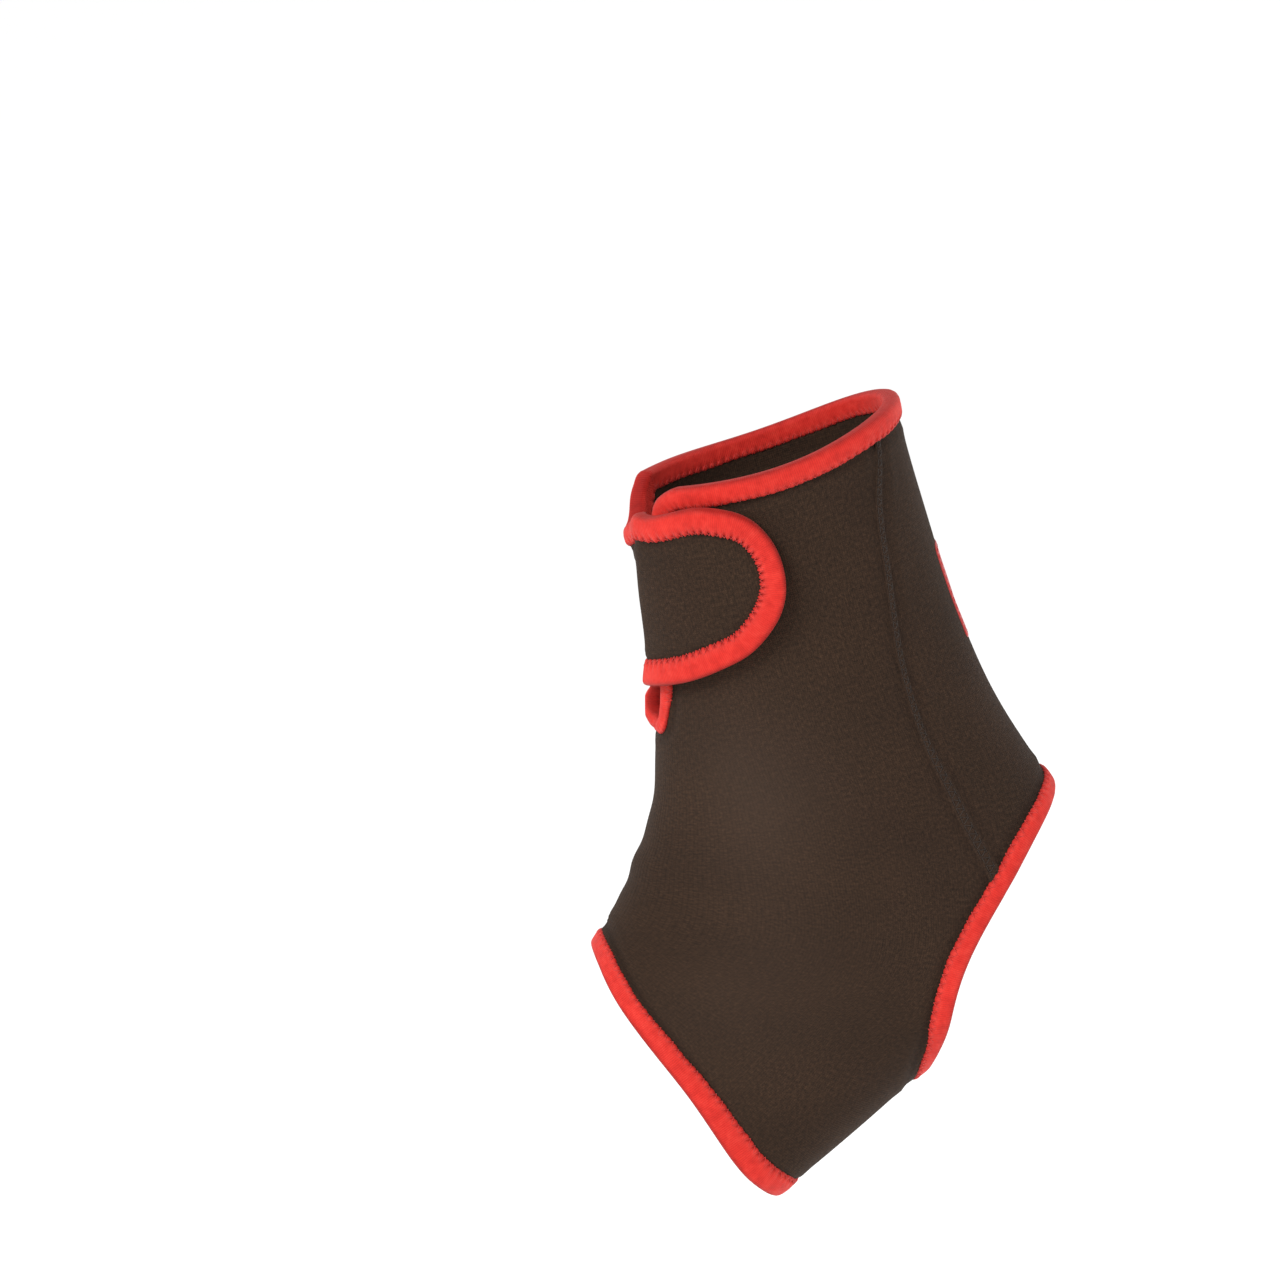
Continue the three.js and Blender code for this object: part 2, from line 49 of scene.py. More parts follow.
SECTIONS = [
    # frontY frontZ  backY   backZ  outer  inner widest roundF roundB ridge
    (-17.4, 146.0, 60.2, 144.0, 38.5, 38.5, 0.50, 2.05, 2.15, 0.0),
    (-23.9, 127.0, 57.6, 122.5, 36.5, 36.5, 0.50, 2.05, 2.15, 0.0),
    (-29.3, 107.5, 54.9, 100.5, 35.2, 35.2, 0.51, 2.05, 2.15, 0.0),
    (-34.3, 88.5, 52.5, 79.0, 34.6, 34.6, 0.52, 2.05, 2.15, 0.0),
    (-40.2, 70.0, 51.0, 57.0, 34.8, 34.8, 0.54, 2.05, 2.15, -0.5),
    (-48.0, 53.2, 51.5, 34.5, 35.6, 35.6, 0.56, 2.05, 2.15, -1.0),
    (-54.6, 38.8, 54.7, 13.2, 36.4, 36.4, 0.57, 2.05, 2.15, -1.5),
    (-61.6, 29.3, 58.5, -7.8, 36.6, 36.6, 0.56, 2.08, 2.15, -2.0),
    (-67.6, 22.5, 60.0, -30.0, 36.2, 36.0, 0.55, 2.10, 2.20, -2.5),
    (-73.0, 17.0, 50.0, -52.0, 35.4, 35.0, 0.57, 2.15, 2.40, -3.0),
    (-77.8, 12.6, 28.0, -65.0, 34.8, 34.4, 0.60, 2.20, 2.40, -3.5),
    (-82.0, 9.0, 3.0, -65.6, 34.8, 34.2, 0.64, 2.20, 2.45, -4.0),
    (-85.6, 6.0, -22.0, -71.3, 35.6, 34.8, 0.67, 2.20, 2.55, -4.5),
    (-89.0, 3.2, -46.0, -78.9, 37.0, 36.0, 0.69, 2.20, 2.70, -5.0),
    (-92.5, 0.0, -69.0, -84.3, 38.6, 37.4, 0.70, 2.20, 2.80, -5.5),
    (-97.0, -4.0, -91.0, -88.5, 40.0, 38.8, 0.70, 2.20, 2.80, -6.0),
]
MOUNDS = [  # y, z, side, radius, height
    (9.0, 6.0, 1, 15.0, 2.2), (-4.0, 14.0, -1, 15.0, 2.2),
    (36.0, 18.0, 1, 14.0, -1.6), (36.0, 18.0, -1, 14.0, -1.6),
]
RIM_EDGE = [(-34.0, 130.4), (-16.0, 128.0), (0.0, 125.2), (15.0, 123.2),
            (30.0, 122.6), (45.0, 123.2), (64.0, 124.6)]
FOOT_EDGE = [(-90.4, 22.0), (-87.4, 4.5), (-86.7, -5.0), (-84.8, -13.4), (-81.0, -26.0),
             (-77.0, -40.0), (-74.0, -55.0), (-70.4, -69.5), (-66.0, -80.0), (-61.0, -94.0)]
HEEL_EDGE = [(72.0, 2.6), (57.0, -3.2), (44.5, -9.2), (27.8, -20.2), (12.2, -33.1),
             (3.9, -43.0), (-3.0, -53.6), (-7.8, -60.2), (-12.4, -68.0), (-15.6, -78.0)]
SLIT = 6.2                # middle of the front slit, in degrees
SLIT_END = 4.44           # its lower end, as a place along the sections
OUTER_EDGE = [  # angle, section
    (SLIT, SLIT_END), (7.6, 4.34), (8.6, 4.12), (9.6, 3.8), (13.8, 3.0), (18.2, 2.2),
    (22.0, 1.55), (23.4, 1.30), (26.6, 1.10), (33.5, 0.98), (43.0, 0.91), (58.0, 0.75),
    (80.0, 0.30),
]
TAB_EDGE = [
    (-34.0, 0.58), (-27.0, 0.74), (-20.5, 1.13), (-13.5, 1.46), (-6.0, 1.53), (3.0, 1.41), (12.5, 1.26),
    (21.0, 1.25), (28.0, 1.28),
    (38.0, 1.26), (49.0, 1.25), (58.3, 1.33), (66.3, 1.46), (72.4, 1.64), (76.6, 1.88),
    (78.9, 2.13), (79.4, 2.40), (78.1, 2.66), (74.7, 2.90), (69.5, 3.10), (62.4, 3.29),
    (54.5, 3.44), (45.5, 3.54), (36.5, 3.63), (27.0, 3.70), (17.0, 3.75), (9.0, 3.79),
    (2.6, 3.85), (-0.4, 3.97), (-1.4, 4.13), (0.0, 4.335), (SLIT, SLIT_END),
]
MM_PER_DEG, MM_PER_SECTION = 0.78, 19.4
SEAM = [  # section, angle: the seam on the outer side
    (0.75, 141.6), (1.39, 139.1), (1.95, 133.5), (2.76, 129.9), (3.59, 125.4), (4.28, 122.0),
    (4.87, 120.4), (5.50, 119.5), (6.21, 121.1), (6.95, 124.4), (7.61, 129.2), (7.95, 131.6),
]
LABEL = dict(across=18.0, first=2.98, last=4.34, thick=0.34)


# ---------------------------------------------------------------------- curves
class Spline:
    """Natural cubic through the points, straight on past the ends."""

    def __init__(self, xs, ys):
        self.x, self.y = np.asarray(xs, float), np.asarray(ys, float)
        n = len(xs)
        m, u = np.zeros(n), np.zeros(n)
        x, y = self.x, self.y
        for i in range(1, n - 1):
            sig = (x[i] - x[i - 1]) / (x[i + 1] - x[i - 1])
            p = sig * m[i - 1] + 2
            m[i] = (sig - 1) / p
            d = (y[i + 1] - y[i]) / (x[i + 1] - x[i]) - (y[i] - y[i - 1]) / (x[i] - x[i - 1])
            u[i] = (6 * d / (x[i + 1] - x[i - 1]) - sig * u[i - 1]) / p
        for i in range(n - 2, -1, -1):
            m[i] = m[i] * m[i + 1] + u[i]
        self.m = m

    def __call__(self, q):
        q = np.asarray(q, float)
        x, y, m, n = self.x, self.y, self.m, len(self.x)
        c = np.clip(q, x[0], x[-1])
        i = np.clip(np.searchsorted(x, c, side="left") - 1, 0, n - 2)
        h = x[i + 1] - x[i]
        a = (x[i + 1] - c) / h
        b = 1 - a
        v = a * y[i] + b * y[i + 1] + ((a ** 3 - a) * m[i] + (b ** 3 - b) * m[i + 1]) * h * h / 6
        h0, h1 = x[1] - x[0], x[-1] - x[-2]
        first = (y[1] - y[0]) / h0 - h0 * (2 * m[0] + m[1]) / 6
        last = (y[-1] - y[-2]) / h1 + h1 * (m[-2] + 2 * m[-1]) / 6
        return v + np.minimum(q - x[0], 0) * first + np.maximum(q - x[-1], 0) * last


COLUMN = [Spline(range(len(SECTIONS)), [r[k] for r in SECTIONS]) for k in range(10)]
frontY, frontZ, backY, backZ, outerW, innerW, widest, roundF, roundB, ridge = COLUMN


def side_of(rows):
    a0, b0 = rows[0]
    a1, b1 = rows[-1]
    length = math.hypot(a1 - a0, b1 - b0)
    dy, dz = (a1 - a0) / length, (b1 - b0) / length
    f = Spline([(y - a0) * dy + (z - b0) * dz for y, z in rows],
               [-(y - a0) * dz + (z - b0) * dy for y, z in rows])
    return lambda y, z: -(y - a0) * dz + (z - b0) * dy - f((y - a0) * dy + (z - b0) * dz)


above_rim, past_foot, past_heel = side_of(RIM_EDGE), side_of(FOOT_EDGE), side_of(HEEL_EDGE)


def flat_edge(rows):
    at = range(len(rows))
    fx = Spline(at, [r[0] * MM_PER_DEG for r in rows])
    fy = Spline(at, [r[1] * MM_PER_SECTION for r in rows])
    t = np.arange((len(rows) - 1) * 6 + 1) / 6
    px, py = fx(t), fy(t)
    ax, ay, ex, ey = px[:-1], py[:-1], np.diff(px), np.diff(py)
    l2 = ex * ex + ey * ey
    ux, uy = ex / np.sqrt(l2), ey / np.sqrt(l2)
    nx, ny = np.append(ux[1:], ux[-1]), np.append(uy[1:], uy[-1])

    def distance(angle, section):
        x = np.asarray(angle, float)[:, None] * MM_PER_DEG
        y = np.asarray(section, float)[:, None] * MM_PER_SECTION
        raw = ((x - ax) * ex + (y - ay) * ey) / l2
        c = np.clip(raw, 0, 1)
        d = np.hypot(x - ax - c * ex, y - ay - c * ey)
        k = np.argmin(np.round(d, 9), axis=1)
        row = np.arange(len(d))
        cross = ex[k] * (y[:, 0] - ay[k]) - ey[k] * (x[:, 0] - ax[k])
        bx, by = ax[k] + ex[k], ay[k] + ey[k]
        corner = (ux[k] + nx[k]) * (y[:, 0] - by) - (uy[k] + ny[k]) * (x[:, 0] - bx)
        cross = np.where((raw[row, k] >= 1) & (k < len(ex) - 1), corner, cross)
        return np.where(cross >= 0, 1.0, -1.0) * d[row, k]

    return distance


from_outer, from_tab = flat_edge(OUTER_EDGE), flat_edge(TAB_EDGE)
outer_edge_angle = Spline([r[1] for r in OUTER_EDGE[3:9]][::-1], [r[0] for r in OUTER_EDGE[3:9]][::-1])


# --------------------------------------------------------------------- surface
def smooth(t):
    c = np.clip(t, 0, 1)
    return c * c * (3 - 2 * c)


def skin(s, angle):
    s, angle = np.asarray(s, float), np.asarray(angle, float)
    t = np.radians(angle)
    c, sn = np.cos(t), np.sin(t)
    fy, fz = frontY(s), frontZ(s)
    by, bz = backY(s), backZ(s)
    length = np.hypot(by - fy, bz - fz)
    ay, az = (by - fy) / length, (bz - fz) / length
    w = np.where(sn >= 0, outerW(s), innerW(s))
    m = widest(s)
    a = np.where(c >= 0, length * m, length * (1 - m))
    n = roundF(s) * (1 + c) / 2 + roundB(s) * (1 - c) / 2
    r = (np.abs(c / a) ** n + np.abs(sn / w) ** n) ** (-1 / n)
    d = length * m - r * c
    x = r * sn
    y, z = fy + ay * d, fz + az * d
    q = x / w
    for my, mz, side, radius, height in MOUNDS:
        x = x + np.where(q * side > 0, side * height * q * side * np.exp(-((y - my) ** 2 + (z - mz) ** 2) / radius ** 2), 0)
    return np.stack([x + ridge(s) * (1 + c) / 2, y, z], -1)


def unit(v):
    return v / np.maximum(np.linalg.norm(v, axis=-1, keepdims=True), 1e-12)


def outward(s, a):
    ds = skin(s + 0.01, a) - skin(s - 0.01, a)
    da = skin(s, a + 0.2) - skin(s, a - 0.2)
    return unit(np.cross(ds, da))


def lift(s, a):
    edge = outer_edge_angle(np.clip(s, 1.10, 3.8))
    end = smooth((SLIT_END - 0.01 - s) / 0.62)
    run = 18.5 - 5.5 * smooth((s - 2.4) / 1.0)
    up = TAB_LIFT * smooth((a - 360 - edge + run) / (run - 1.6)) * end
    # the turned corners at both ends of the tab stand out a little
    up = up + 2.1 * np.exp(-((a - 352) / 15.0) ** 2) * np.exp(-((s - 1.66) / 0.36) ** 2)
    up = up + 2.3 * np.exp(-((a - 344) / 11.0) ** 2) * np.exp(-((s - 1.12) / 0.28) ** 2)
    front = np.exp(-((a - 358) / 15.0) ** 2)
    up = up + 1.6 * front * smooth((3.5 - s) / 2.3) * smooth((s - 0.9) / 0.5) - 0.45 * front * np.exp(-((s - 3.55) / 0.16) ** 2)
    joined = 1 - (1 - smooth((SLIT + 360 - a) / 7.0)) * smooth((s - SLIT_END + 0.18) / 0.17)
    up = up + 2.4 * np.exp(-((a - 357) / 9.0) ** 2) * smooth((s - 3.88) / 0.26) * smooth((4.74 - s) / 0.32) * joined
    return np.where(a < 180, 0, up)


def sheet(s, a, high):
    s, a = np.asarray(s, float), np.asarray(a, float)
    return skin(s, a) + outward(s, a) * (lift(s, a) + high)[..., None]


def inside(s, a):
    p = skin(s, a)
    y, z = p[:, 1], p[:, 2]
    g = np.full(len(s), 1e3)
    g = np.where(s < 3, np.minimum(g, -above_rim(y, z)), g)
    g = np.where(s > 8, np.minimum(g, past_foot(y, z) + 0.60), g)
    g = np.where(s > 4.5, np.minimum(g, 1.0 * smooth((s - 6.8) / 1.2) - 0.15 - past_heel(y, z)), g)
    k = np.flatnonzero((a < 120) & (s < 8))
    g[k] = np.minimum(g[k], from_outer(a[k], s[k]))
    k = np.flatnonzero((a > 260) & (s < 8))
    g[k] = np.minimum(g[k], from_tab(a[k] - 360, s[k]))
    return g


def flat(s, a):
    """Where a place of the sheet is in the cut cloth, roughly, in millimetres."""
    return np.stack([np.asarray(a) * MM_PER_DEG * 0.9, -np.asarray(s) * MM_PER_SECTION], -1)


# ------------------------------------------------------------------ sheet grid
def roots(keep, inner, outer):
    lo, hi = inner.copy(), outer.copy()
    for _ in range(22):
        mid = (lo + hi) / 2
        g = keep(mid[:, 0], mid[:, 1]) > 0
        lo[g], hi[~g] = mid[g], mid[~g]
    return lo


def cut_grid(sections, angles, keep, reach, unused=None):
    """The part of a grid over (section, angle) where keep() > 0, its corners near the cut moved onto it."""
    nr, nc = len(sections), len(angles)
    S, A = np.meshgrid(sections, angles, indexing="ij")
    verts = np.stack([S.ravel(), A.ravel()], -1)
    value = keep(verts[:, 0], verts[:, 1])
    off = unused(verts[:, 0], verts[:, 1]) if unused else np.zeros(len(verts), bool)
    ids = np.arange(nr * nc).reshape(nr, nc)
    pairs = np.concatenate([
        np.stack([ids[:, :-1].ravel(), ids[:, 1:].ravel()], -1), np.stack([ids[:, 1:].ravel(), ids[:, :-1].ravel()], -1),
        np.stack([ids[:-1].ravel(), ids[1:].ravel()], -1), np.stack([ids[1:].ravel(), ids[:-1].ravel()], -1)])
    i, j = pairs[:, 0], pairs[:, 1]
    hit = ~off[j] & ((value[i] > 0) != (value[j] > 0))
    i, j = i[hit], j[hit]
    good = value[i] > 0
    at = roots(keep, np.where(good[:, None], verts[i], verts[j]), np.where(good[:, None], verts[j], verts[i]))
    t = np.abs(at - verts[i]).sum(1) / np.abs(verts[j] - verts[i]).sum(1)
    best = {}
    for n in range(len(i)):
        if t[n] < reach and t[n] < best.get(i[n], (reach, None))[0]:
            best[i[n]] = (t[n], n)
    moved = verts.copy()
    for v, (_, n) in best.items():
        moved[v] = at[n]
        value[v] = 0
    verts = moved
    quads = np.stack([ids[:-1, :-1].ravel(), ids[1:, :-1].ravel(), ids[1:, 1:].ravel(), ids[:-1, 1:].ravel()], -1)
    quads = quads[~off[quads].any(1) & (value[quads] > 0).any(1)]
    whole = (value[quads] >= 0).all(1)
    faces = [tuple(q) for q in quads[whole]]
    part = quads[~whole]
    need = {}
    for q in part:
        for k in range(4):
            a, b = q[k], q[(k + 1) % 4]
            if (value[a] > 0) != (value[b] > 0) and value[a] != 0 and value[b] != 0:
                need[(min(a, b), max(a, b))] = None
    keys = list(need)
    if keys:
        ka, kb = np.array([k[0] for k in keys]), np.array([k[1] for k in keys])
        good = value[ka] > 0
        where = roots(keep, np.where(good[:, None], verts[ka], verts[kb]), np.where(good[:, None], verts[kb], verts[ka]))
        for n, k in enumerate(keys):
            need[k] = len(verts) + n
        verts = np.concatenate([verts, where])
    for q in part:
        poly = []
        for k in range(4):
            a, b = q[k], q[(k + 1) % 4]
            if value[a] >= 0:
                poly.append(a)
            if value[a] * value[b] < 0:
                poly.append(need[(min(a, b), max(a, b))])
        if len(poly) >= 3:
            faces.append(tuple(poly))
    return verts, faces


def weld(verts, faces):
    """Corners at one place joined, and the edge loops of what is left."""
    p = np.round(sheet(verts[:, 0], verts[:, 1], np.zeros(len(verts))) * 400).astype(int)
    seen, to, out = {}, np.zeros(len(verts), int), []
    used = np.zeros(len(verts), bool)
    for f in faces:
        used[list(f)] = True
    for n in np.flatnonzero(used):
        key = tuple(p[n])
        if key not in seen:
            seen[key] = len(out)
            out.append(verts[n])
        to[n] = seen[key]
    polys = []
    for f in faces:
        g = []
        for n in f:
            if to[n] not in g:
                g.append(int(to[n]))
        if len(g) >= 3:
            polys.append(tuple(g))
    edges = set()
    for f in polys:
        for k in range(len(f)):
            edges.add((f[k], f[(k + 1) % len(f)]))
    nxt = {a: b for a, b in edges if (b, a) not in edges}
    loops = []
    while nxt:
        i = next(iter(nxt))
        loop = []
        while i in nxt:
            loop.append(i)
            i = nxt.pop(i)
        loops.append(loop)
    return np.array(out), polys, loops


def make(name, points, faces, material, attributes=None, node=None, smooth_faces=True):
    """A mesh piece in metres that rides on the brace's one body."""
    me = bpy.data.meshes.new(name)
    me.from_pydata((np.asarray(points) / 1000).tolist(), [], [tuple(int(i) for i in f) for f in faces])
    me.validate()
    me.update()
    for key, value in (attributes or {}).items():
        value = np.asarray(value, np.float32)
        if value.ndim == 1:
            me.attributes.new(key, "FLOAT", "POINT").data.foreach_set("value", value)
        else:
            if value.shape[1] == 2:
                value = np.concatenate([value, np.zeros((len(value), 1), np.float32)], 1)
            me.attributes.new(key, "FLOAT_VECTOR", "POINT").data.foreach_set("vector", value.ravel())
    if smooth_faces:
        me.polygons.foreach_set("use_smooth", np.ones(len(me.polygons), bool))
    me.materials.append(material)
    ob = bpy.data.objects.new(name, me)
    bpy.context.scene.collection.objects.link(ob)
    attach(ob, "root")
    if node:
        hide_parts(node)
    return ob


# -------------------------------------------------------------------- materials
class Nodes:
    """Short hand for a node tree."""

    def __init__(self, name):
        self.mat = bpy.data.materials.new(name)
        self.mat.use_nodes = True
        self.tree = self.mat.node_tree
        self.bsdf = self.tree.nodes["Principled BSDF"]

    def add(self, kind, inputs=(), **props):
        n = self.tree.nodes.new(kind)
        for k, v in props.items():
            setattr(n, k, v)
        for k, v in dict(inputs).items():
            if isinstance(v, bpy.types.NodeSocket):
                self.tree.links.new(v, n.inputs[k])
            else:
                n.inputs[k].default_value = v
        return n

    def math(self, op, a, b=0.0, c=0.0):
        n = self.add("ShaderNodeMath", {0: a, 1: b, 2: c}, operation=op)
        return n.outputs[0]

    def attribute(self, name, vector=True):
        n = self.add("ShaderNodeAttribute", attribute_name=name)
        return n.outputs["Vector" if vector else "Fac"]

    def scaled(self, v, x, y, z=1.0):
        return self.add("ShaderNodeMapping", {"Vector": v, "Scale": (x, y, z)}).outputs["Vector"]

    def noise(self, v, scale, detail=2.0, rough=0.5):
        return self.add("ShaderNodeTexNoise", {"Vector": v, "Scale": scale, "Detail": detail, "Roughness": rough}).outputs["Fac"]

    def ramp(self, fac, stops):
        n = self.add("ShaderNodeValToRGB", {"Fac": fac})
        r = n.color_ramp
        r.elements[0].position, r.elements[0].color = stops[0][0], (*stops[0][1], 1)
        r.elements[1].position, r.elements[1].color = stops[-1][0], (*stops[-1][1], 1)
        for pos, col in stops[1:-1]:
            r.elements.new(pos).color = (*col, 1)
        return n.outputs["Color"]

    def mix(self, kind, fac, a, b):
        n = self.add("ShaderNodeMix", data_type="RGBA", blend_type=kind)
        for k, v in ((0, fac), (6, a), (7, b)):
            if isinstance(v, bpy.types.NodeSocket):
                self.tree.links.new(v, n.inputs[k])
            else:
                n.inputs[k].default_value = v if k == 0 else (*v, 1)
        return n.outputs[2]

    def bump(self, height, strength, distance, normal=None):
        ins = {"Height": height, "Strength": strength, "Distance": distance}
        if normal is not None:
            ins["Normal"] = normal
        return self.add("ShaderNodeBump", ins).outputs["Normal"]

    def set(self, **values):
        for k, v in values.items():
            key = k.replace("_", " ")
            if isinstance(v, bpy.types.NodeSocket):
                self.tree.links.new(v, self.bsdf.inputs[key])
            else:
                self.bsdf.inputs[key].default_value = (*v, 1) if isinstance(v, tuple) else v


def lin(r, g, b):
    return tuple((c / 255 / 12.92) if c <= 10 else ((c / 255 + 0.055) / 1.055) ** 2.4 for c in (r, g, b))


def knit(n, v, wale, course):
    """Height of a plain knit: columns of small V shapes. v is in millimetres."""
    xyz = n.add("ShaderNodeSeparateXYZ", {"Vector": v})
    x = n.math("DIVIDE", xyz.outputs[0], wale)
    y = n.math("DIVIDE", xyz.outputs[1], course)
    f = n.math("ABSOLUTE", n.math("SUBTRACT", n.math("FRACT", x), 0.5))
    groove = n.math("SUBTRACT", 1.0, n.math("POWER", n.math("MULTIPLY", f, 2.0), 3.0))
    loop = n.math("SINE", n.math("MULTIPLY", n.math("ADD", y, n.math("MULTIPLY", f, 1.1)), 2 * math.pi))
    return n.math("MULTIPLY", groove, n.math("ADD", n.math("MULTIPLY", loop, 0.35), 0.65))


def neoprene_material():
    """Knit face laminated to foam, dark brown, with a little lint, paler where the bend of the ankle pulls it, with a
    painted highlight over the front of the ankle and painted shade in the grooves beside the tapes and seams.
    """
    n = Nodes("neoprene_knit")
    v = n.attribute("flat_mm")
    stretch_and_highlight = n.attribute("stretch_and_highlight", vector=False)
    groove_shade = n.attribute("groove_shade", vector=False)
    grain = n.noise(v, 0.95, 3.0, 0.65)
    heather = n.noise(n.scaled(v, 1.0, 0.45), 2.1, 2.0, 0.6)
    cloud = n.noise(v, 0.035, 3.0, 0.55)
    stitch = knit(n, v, 0.78, 0.62)
    base = n.ramp(grain, [(0.25, lin(39, 28, 20)), (0.5, lin(55, 39, 28)), (0.78, lin(73, 53, 39))])
    base = n.mix("MULTIPLY", 0.55, base, n.ramp(heather, [(0.3, (0.62, 0.62, 0.62)), (0.7, (1.25, 1.24, 1.22))]))
    base = n.mix("MULTIPLY", 0.6, base, n.ramp(cloud, [(0.3, (0.82, 0.82, 0.83)), (0.7, (1.16, 1.15, 1.13))]))
    base = n.mix("MULTIPLY", 0.45, base, n.ramp(stitch, [(0.0, (0.45, 0.45, 0.45)), (0.85, (1.12, 1.12, 1.12))]))
    # paler where the bend pulls the knit, and a painted highlight over the front of the ankle
    base = n.mix("MIX", n.math("MULTIPLY", stretch_and_highlight, 0.58), base, lin(84, 68, 58))
    # painted shade in the grooves beside the tapes and seams
    base = n.mix("MULTIPLY", groove_shade, base, (0.34, 0.32, 0.31))
    lint = n.noise(v, 0.62, 4.0, 0.8)
    base = n.mix("MIX", n.ramp(lint, [(0.735, (0, 0, 0)), (0.8, (0.3, 0.3, 0.3))]), base, lin(110, 94, 82))
    rough = n.math("MULTIPLY_ADD", heather, 0.16, 0.76)
    fine = n.bump(n.math("MULTIPLY_ADD", stitch, 0.75, n.math("MULTIPLY", grain, 0.35)), 0.55, 0.00028)
    coarse = n.bump(n.noise(v, 0.16, 3.0, 0.5), 0.25, 0.0009, fine)
    n.set(Base_Color=base, Roughness=rough, Normal=coarse, Sheen_Weight=0.03, Sheen_Roughness=0.5,
          Sheen_Tint=(0.6, 0.48, 0.4), Specular_IOR_Level=0.16)
    return n.mat


def tape_material():
    """Soft red knitted binding tape with fine cross ribs."""
    n = Nodes("red_binding_tape")
    v = n.attribute("flat_mm")
    xyz = n.add("ShaderNodeSeparateXYZ", {"Vector": v})
    wobble = n.noise(v, 0.5, 2.0, 0.5)
    rib = n.math("SINE", n.math("MULTIPLY", n.math("ADD", n.math("DIVIDE", xyz.outputs[0], 0.62), n.math("MULTIPLY", wobble, 0.7)), 2 * math.pi))
    yarn = n.math("SINE", n.math("MULTIPLY", n.math("DIVIDE", xyz.outputs[1], 0.5), 2 * math.pi))
    weave = n.math("MULTIPLY_ADD", n.math("MULTIPLY", rib, n.math("MULTIPLY_ADD", yarn, 0.25, 0.75)), 0.5, 0.5)
    mottle = n.noise(v, 0.33, 3.0, 0.6)
    slow = n.noise(v, 0.06, 2.0, 0.5)
    base = n.ramp(mottle, [(0.25, lin(200, 35, 26)), (0.5, lin(219, 44, 34)), (0.78, lin(232, 60, 48))])
    base = n.mix("MULTIPLY", 0.5, base, n.ramp(weave, [(0.0, (0.74, 0.68, 0.66)), (0.8, (1.08, 1.08, 1.08))]))
    base = n.mix("MULTIPLY", 0.5, base, n.ramp(slow, [(0.3, (0.86, 0.84, 0.84)), (0.7, (1.1, 1.1, 1.1))]))
    tape_shade = n.attribute("tape_shade", vector=False)
    base = n.mix("MIX", n.math("MULTIPLY", n.attribute("pale", vector=False), 0.22), base, lin(238, 86, 76))
    # painted shade along the tape's fold, at its stitched edge and in the nips of its stitches
    base = n.mix("MULTIPLY", tape_shade, base, (0.52, 0.3, 0.28))
    fine = n.bump(n.math("MULTIPLY_ADD", mottle, 0.3, weave), 0.5, 0.00022)
    n.set(Base_Color=base, Roughness=n.math("MULTIPLY_ADD", weave, -0.12, 0.74), Normal=fine,
          Sheen_Weight=0.12, Sheen_Roughness=0.45, Sheen_Tint=(1.0, 0.5, 0.45), Specular_IOR_Level=0.25)
    return n.mat


def thread_material(name, dark, light, sheen):
    """Twisted sewing thread: bands that run round it."""
    n = Nodes(name)
    v = n.attribute("flat_mm")
    xyz = n.add("ShaderNodeSeparateXYZ", {"Vector": v})
    twist = n.math("SINE", n.math("MULTIPLY", n.math("ADD", n.math("DIVIDE", xyz.outputs[0], 0.36), xyz.outputs[1]), 2 * math.pi))
    fuzz = n.noise(v, 1.3, 2.0, 0.6)
    both = n.math("MULTIPLY_ADD", twist, 0.3, fuzz)
    n.set(Base_Color=n.ramp(both, [(0.25, dark), (0.75, light)]), Roughness=n.math("MULTIPLY_ADD", fuzz, 0.2, 0.5),
          Normal=n.bump(twist, 0.5, 0.00008), Sheen_Weight=sheen, Sheen_Roughness=0.4, Specular_IOR_Level=0.35)
    return n.mat


def hook_material():
    """Hook tape: rows of tiny dark hooks on a woven ground."""
    n = Nodes("hook_tape")
    v = n.attribute("flat_mm")
    cell = n.add("ShaderNodeTexVoronoi", {"Vector": n.scaled(v, 0.8, 0.62), "Scale": 1.0, "Randomness": 0.22})
    ground = n.noise(v, 1.2, 3.0, 0.6)
    dots = n.ramp(cell.outputs["Distance"], [(0.12, (1, 1, 1)), (0.42, (0, 0, 0))])
    base = n.mix("MIX", dots, n.ramp(ground, [(0.3, lin(26, 22, 20)), (0.7, lin(42, 36, 33))]), lin(70, 62, 58))
    n.set(Base_Color=base, Roughness=n.math("MULTIPLY_ADD", ground, 0.25, 0.5), Normal=n.bump(dots, 0.9, 0.0006),
          Specular_IOR_Level=0.4)
    return n.mat


def label_material():
    """Blank patch of satin woven tape."""
    n = Nodes("satin_label")
    v = n.attribute("flat_mm")
    xyz = n.add("ShaderNodeSeparateXYZ", {"Vector": v})
    fill = n.math("SINE", n.math("MULTIPLY", n.math("DIVIDE", xyz.outputs[1], 0.34), 2 * math.pi))
    warp = n.math("SINE", n.math("MULTIPLY", n.math("ADD", n.math("DIVIDE", xyz.outputs[0], 0.5), n.math("DIVIDE", xyz.outputs[1], 1.36)), 2 * math.pi))
    weave = n.math("MULTIPLY_ADD", n.math("ADD", n.math("MULTIPLY", fill, 0.6), n.math("MULTIPLY", warp, 0.4)), 0.5, 0.5)
    mottle = n.noise(v, 0.25, 3.0, 0.6)
    base = n.ramp(mottle, [(0.3, lin(188, 34, 31)), (0.7, lin(212, 48, 42))])
    base = n.mix("MULTIPLY", 0.5, base, n.ramp(weave, [(0.0, (0.8, 0.76, 0.75)), (0.8, (1.08, 1.07, 1.07))]))
    n.set(Base_Color=base, Roughness=n.math("MULTIPLY_ADD", weave, -0.12, 0.52), Normal=n.bump(weave, 0.4, 0.00012),
          Sheen_Weight=0.15, Sheen_Roughness=0.35, Specular_IOR_Level=0.45)
    return n.mat


NEOPRENE, TAPE, HOOK, SATIN = neoprene_material(), tape_material(), hook_material(), label_material()
RED_THREAD = thread_material("red_thread", lin(176, 28, 26), lin(236, 70, 62), 0.15)
DARK_THREAD = thread_material("dark_thread", lin(36, 28, 23), lin(66, 52, 44), 0.03)

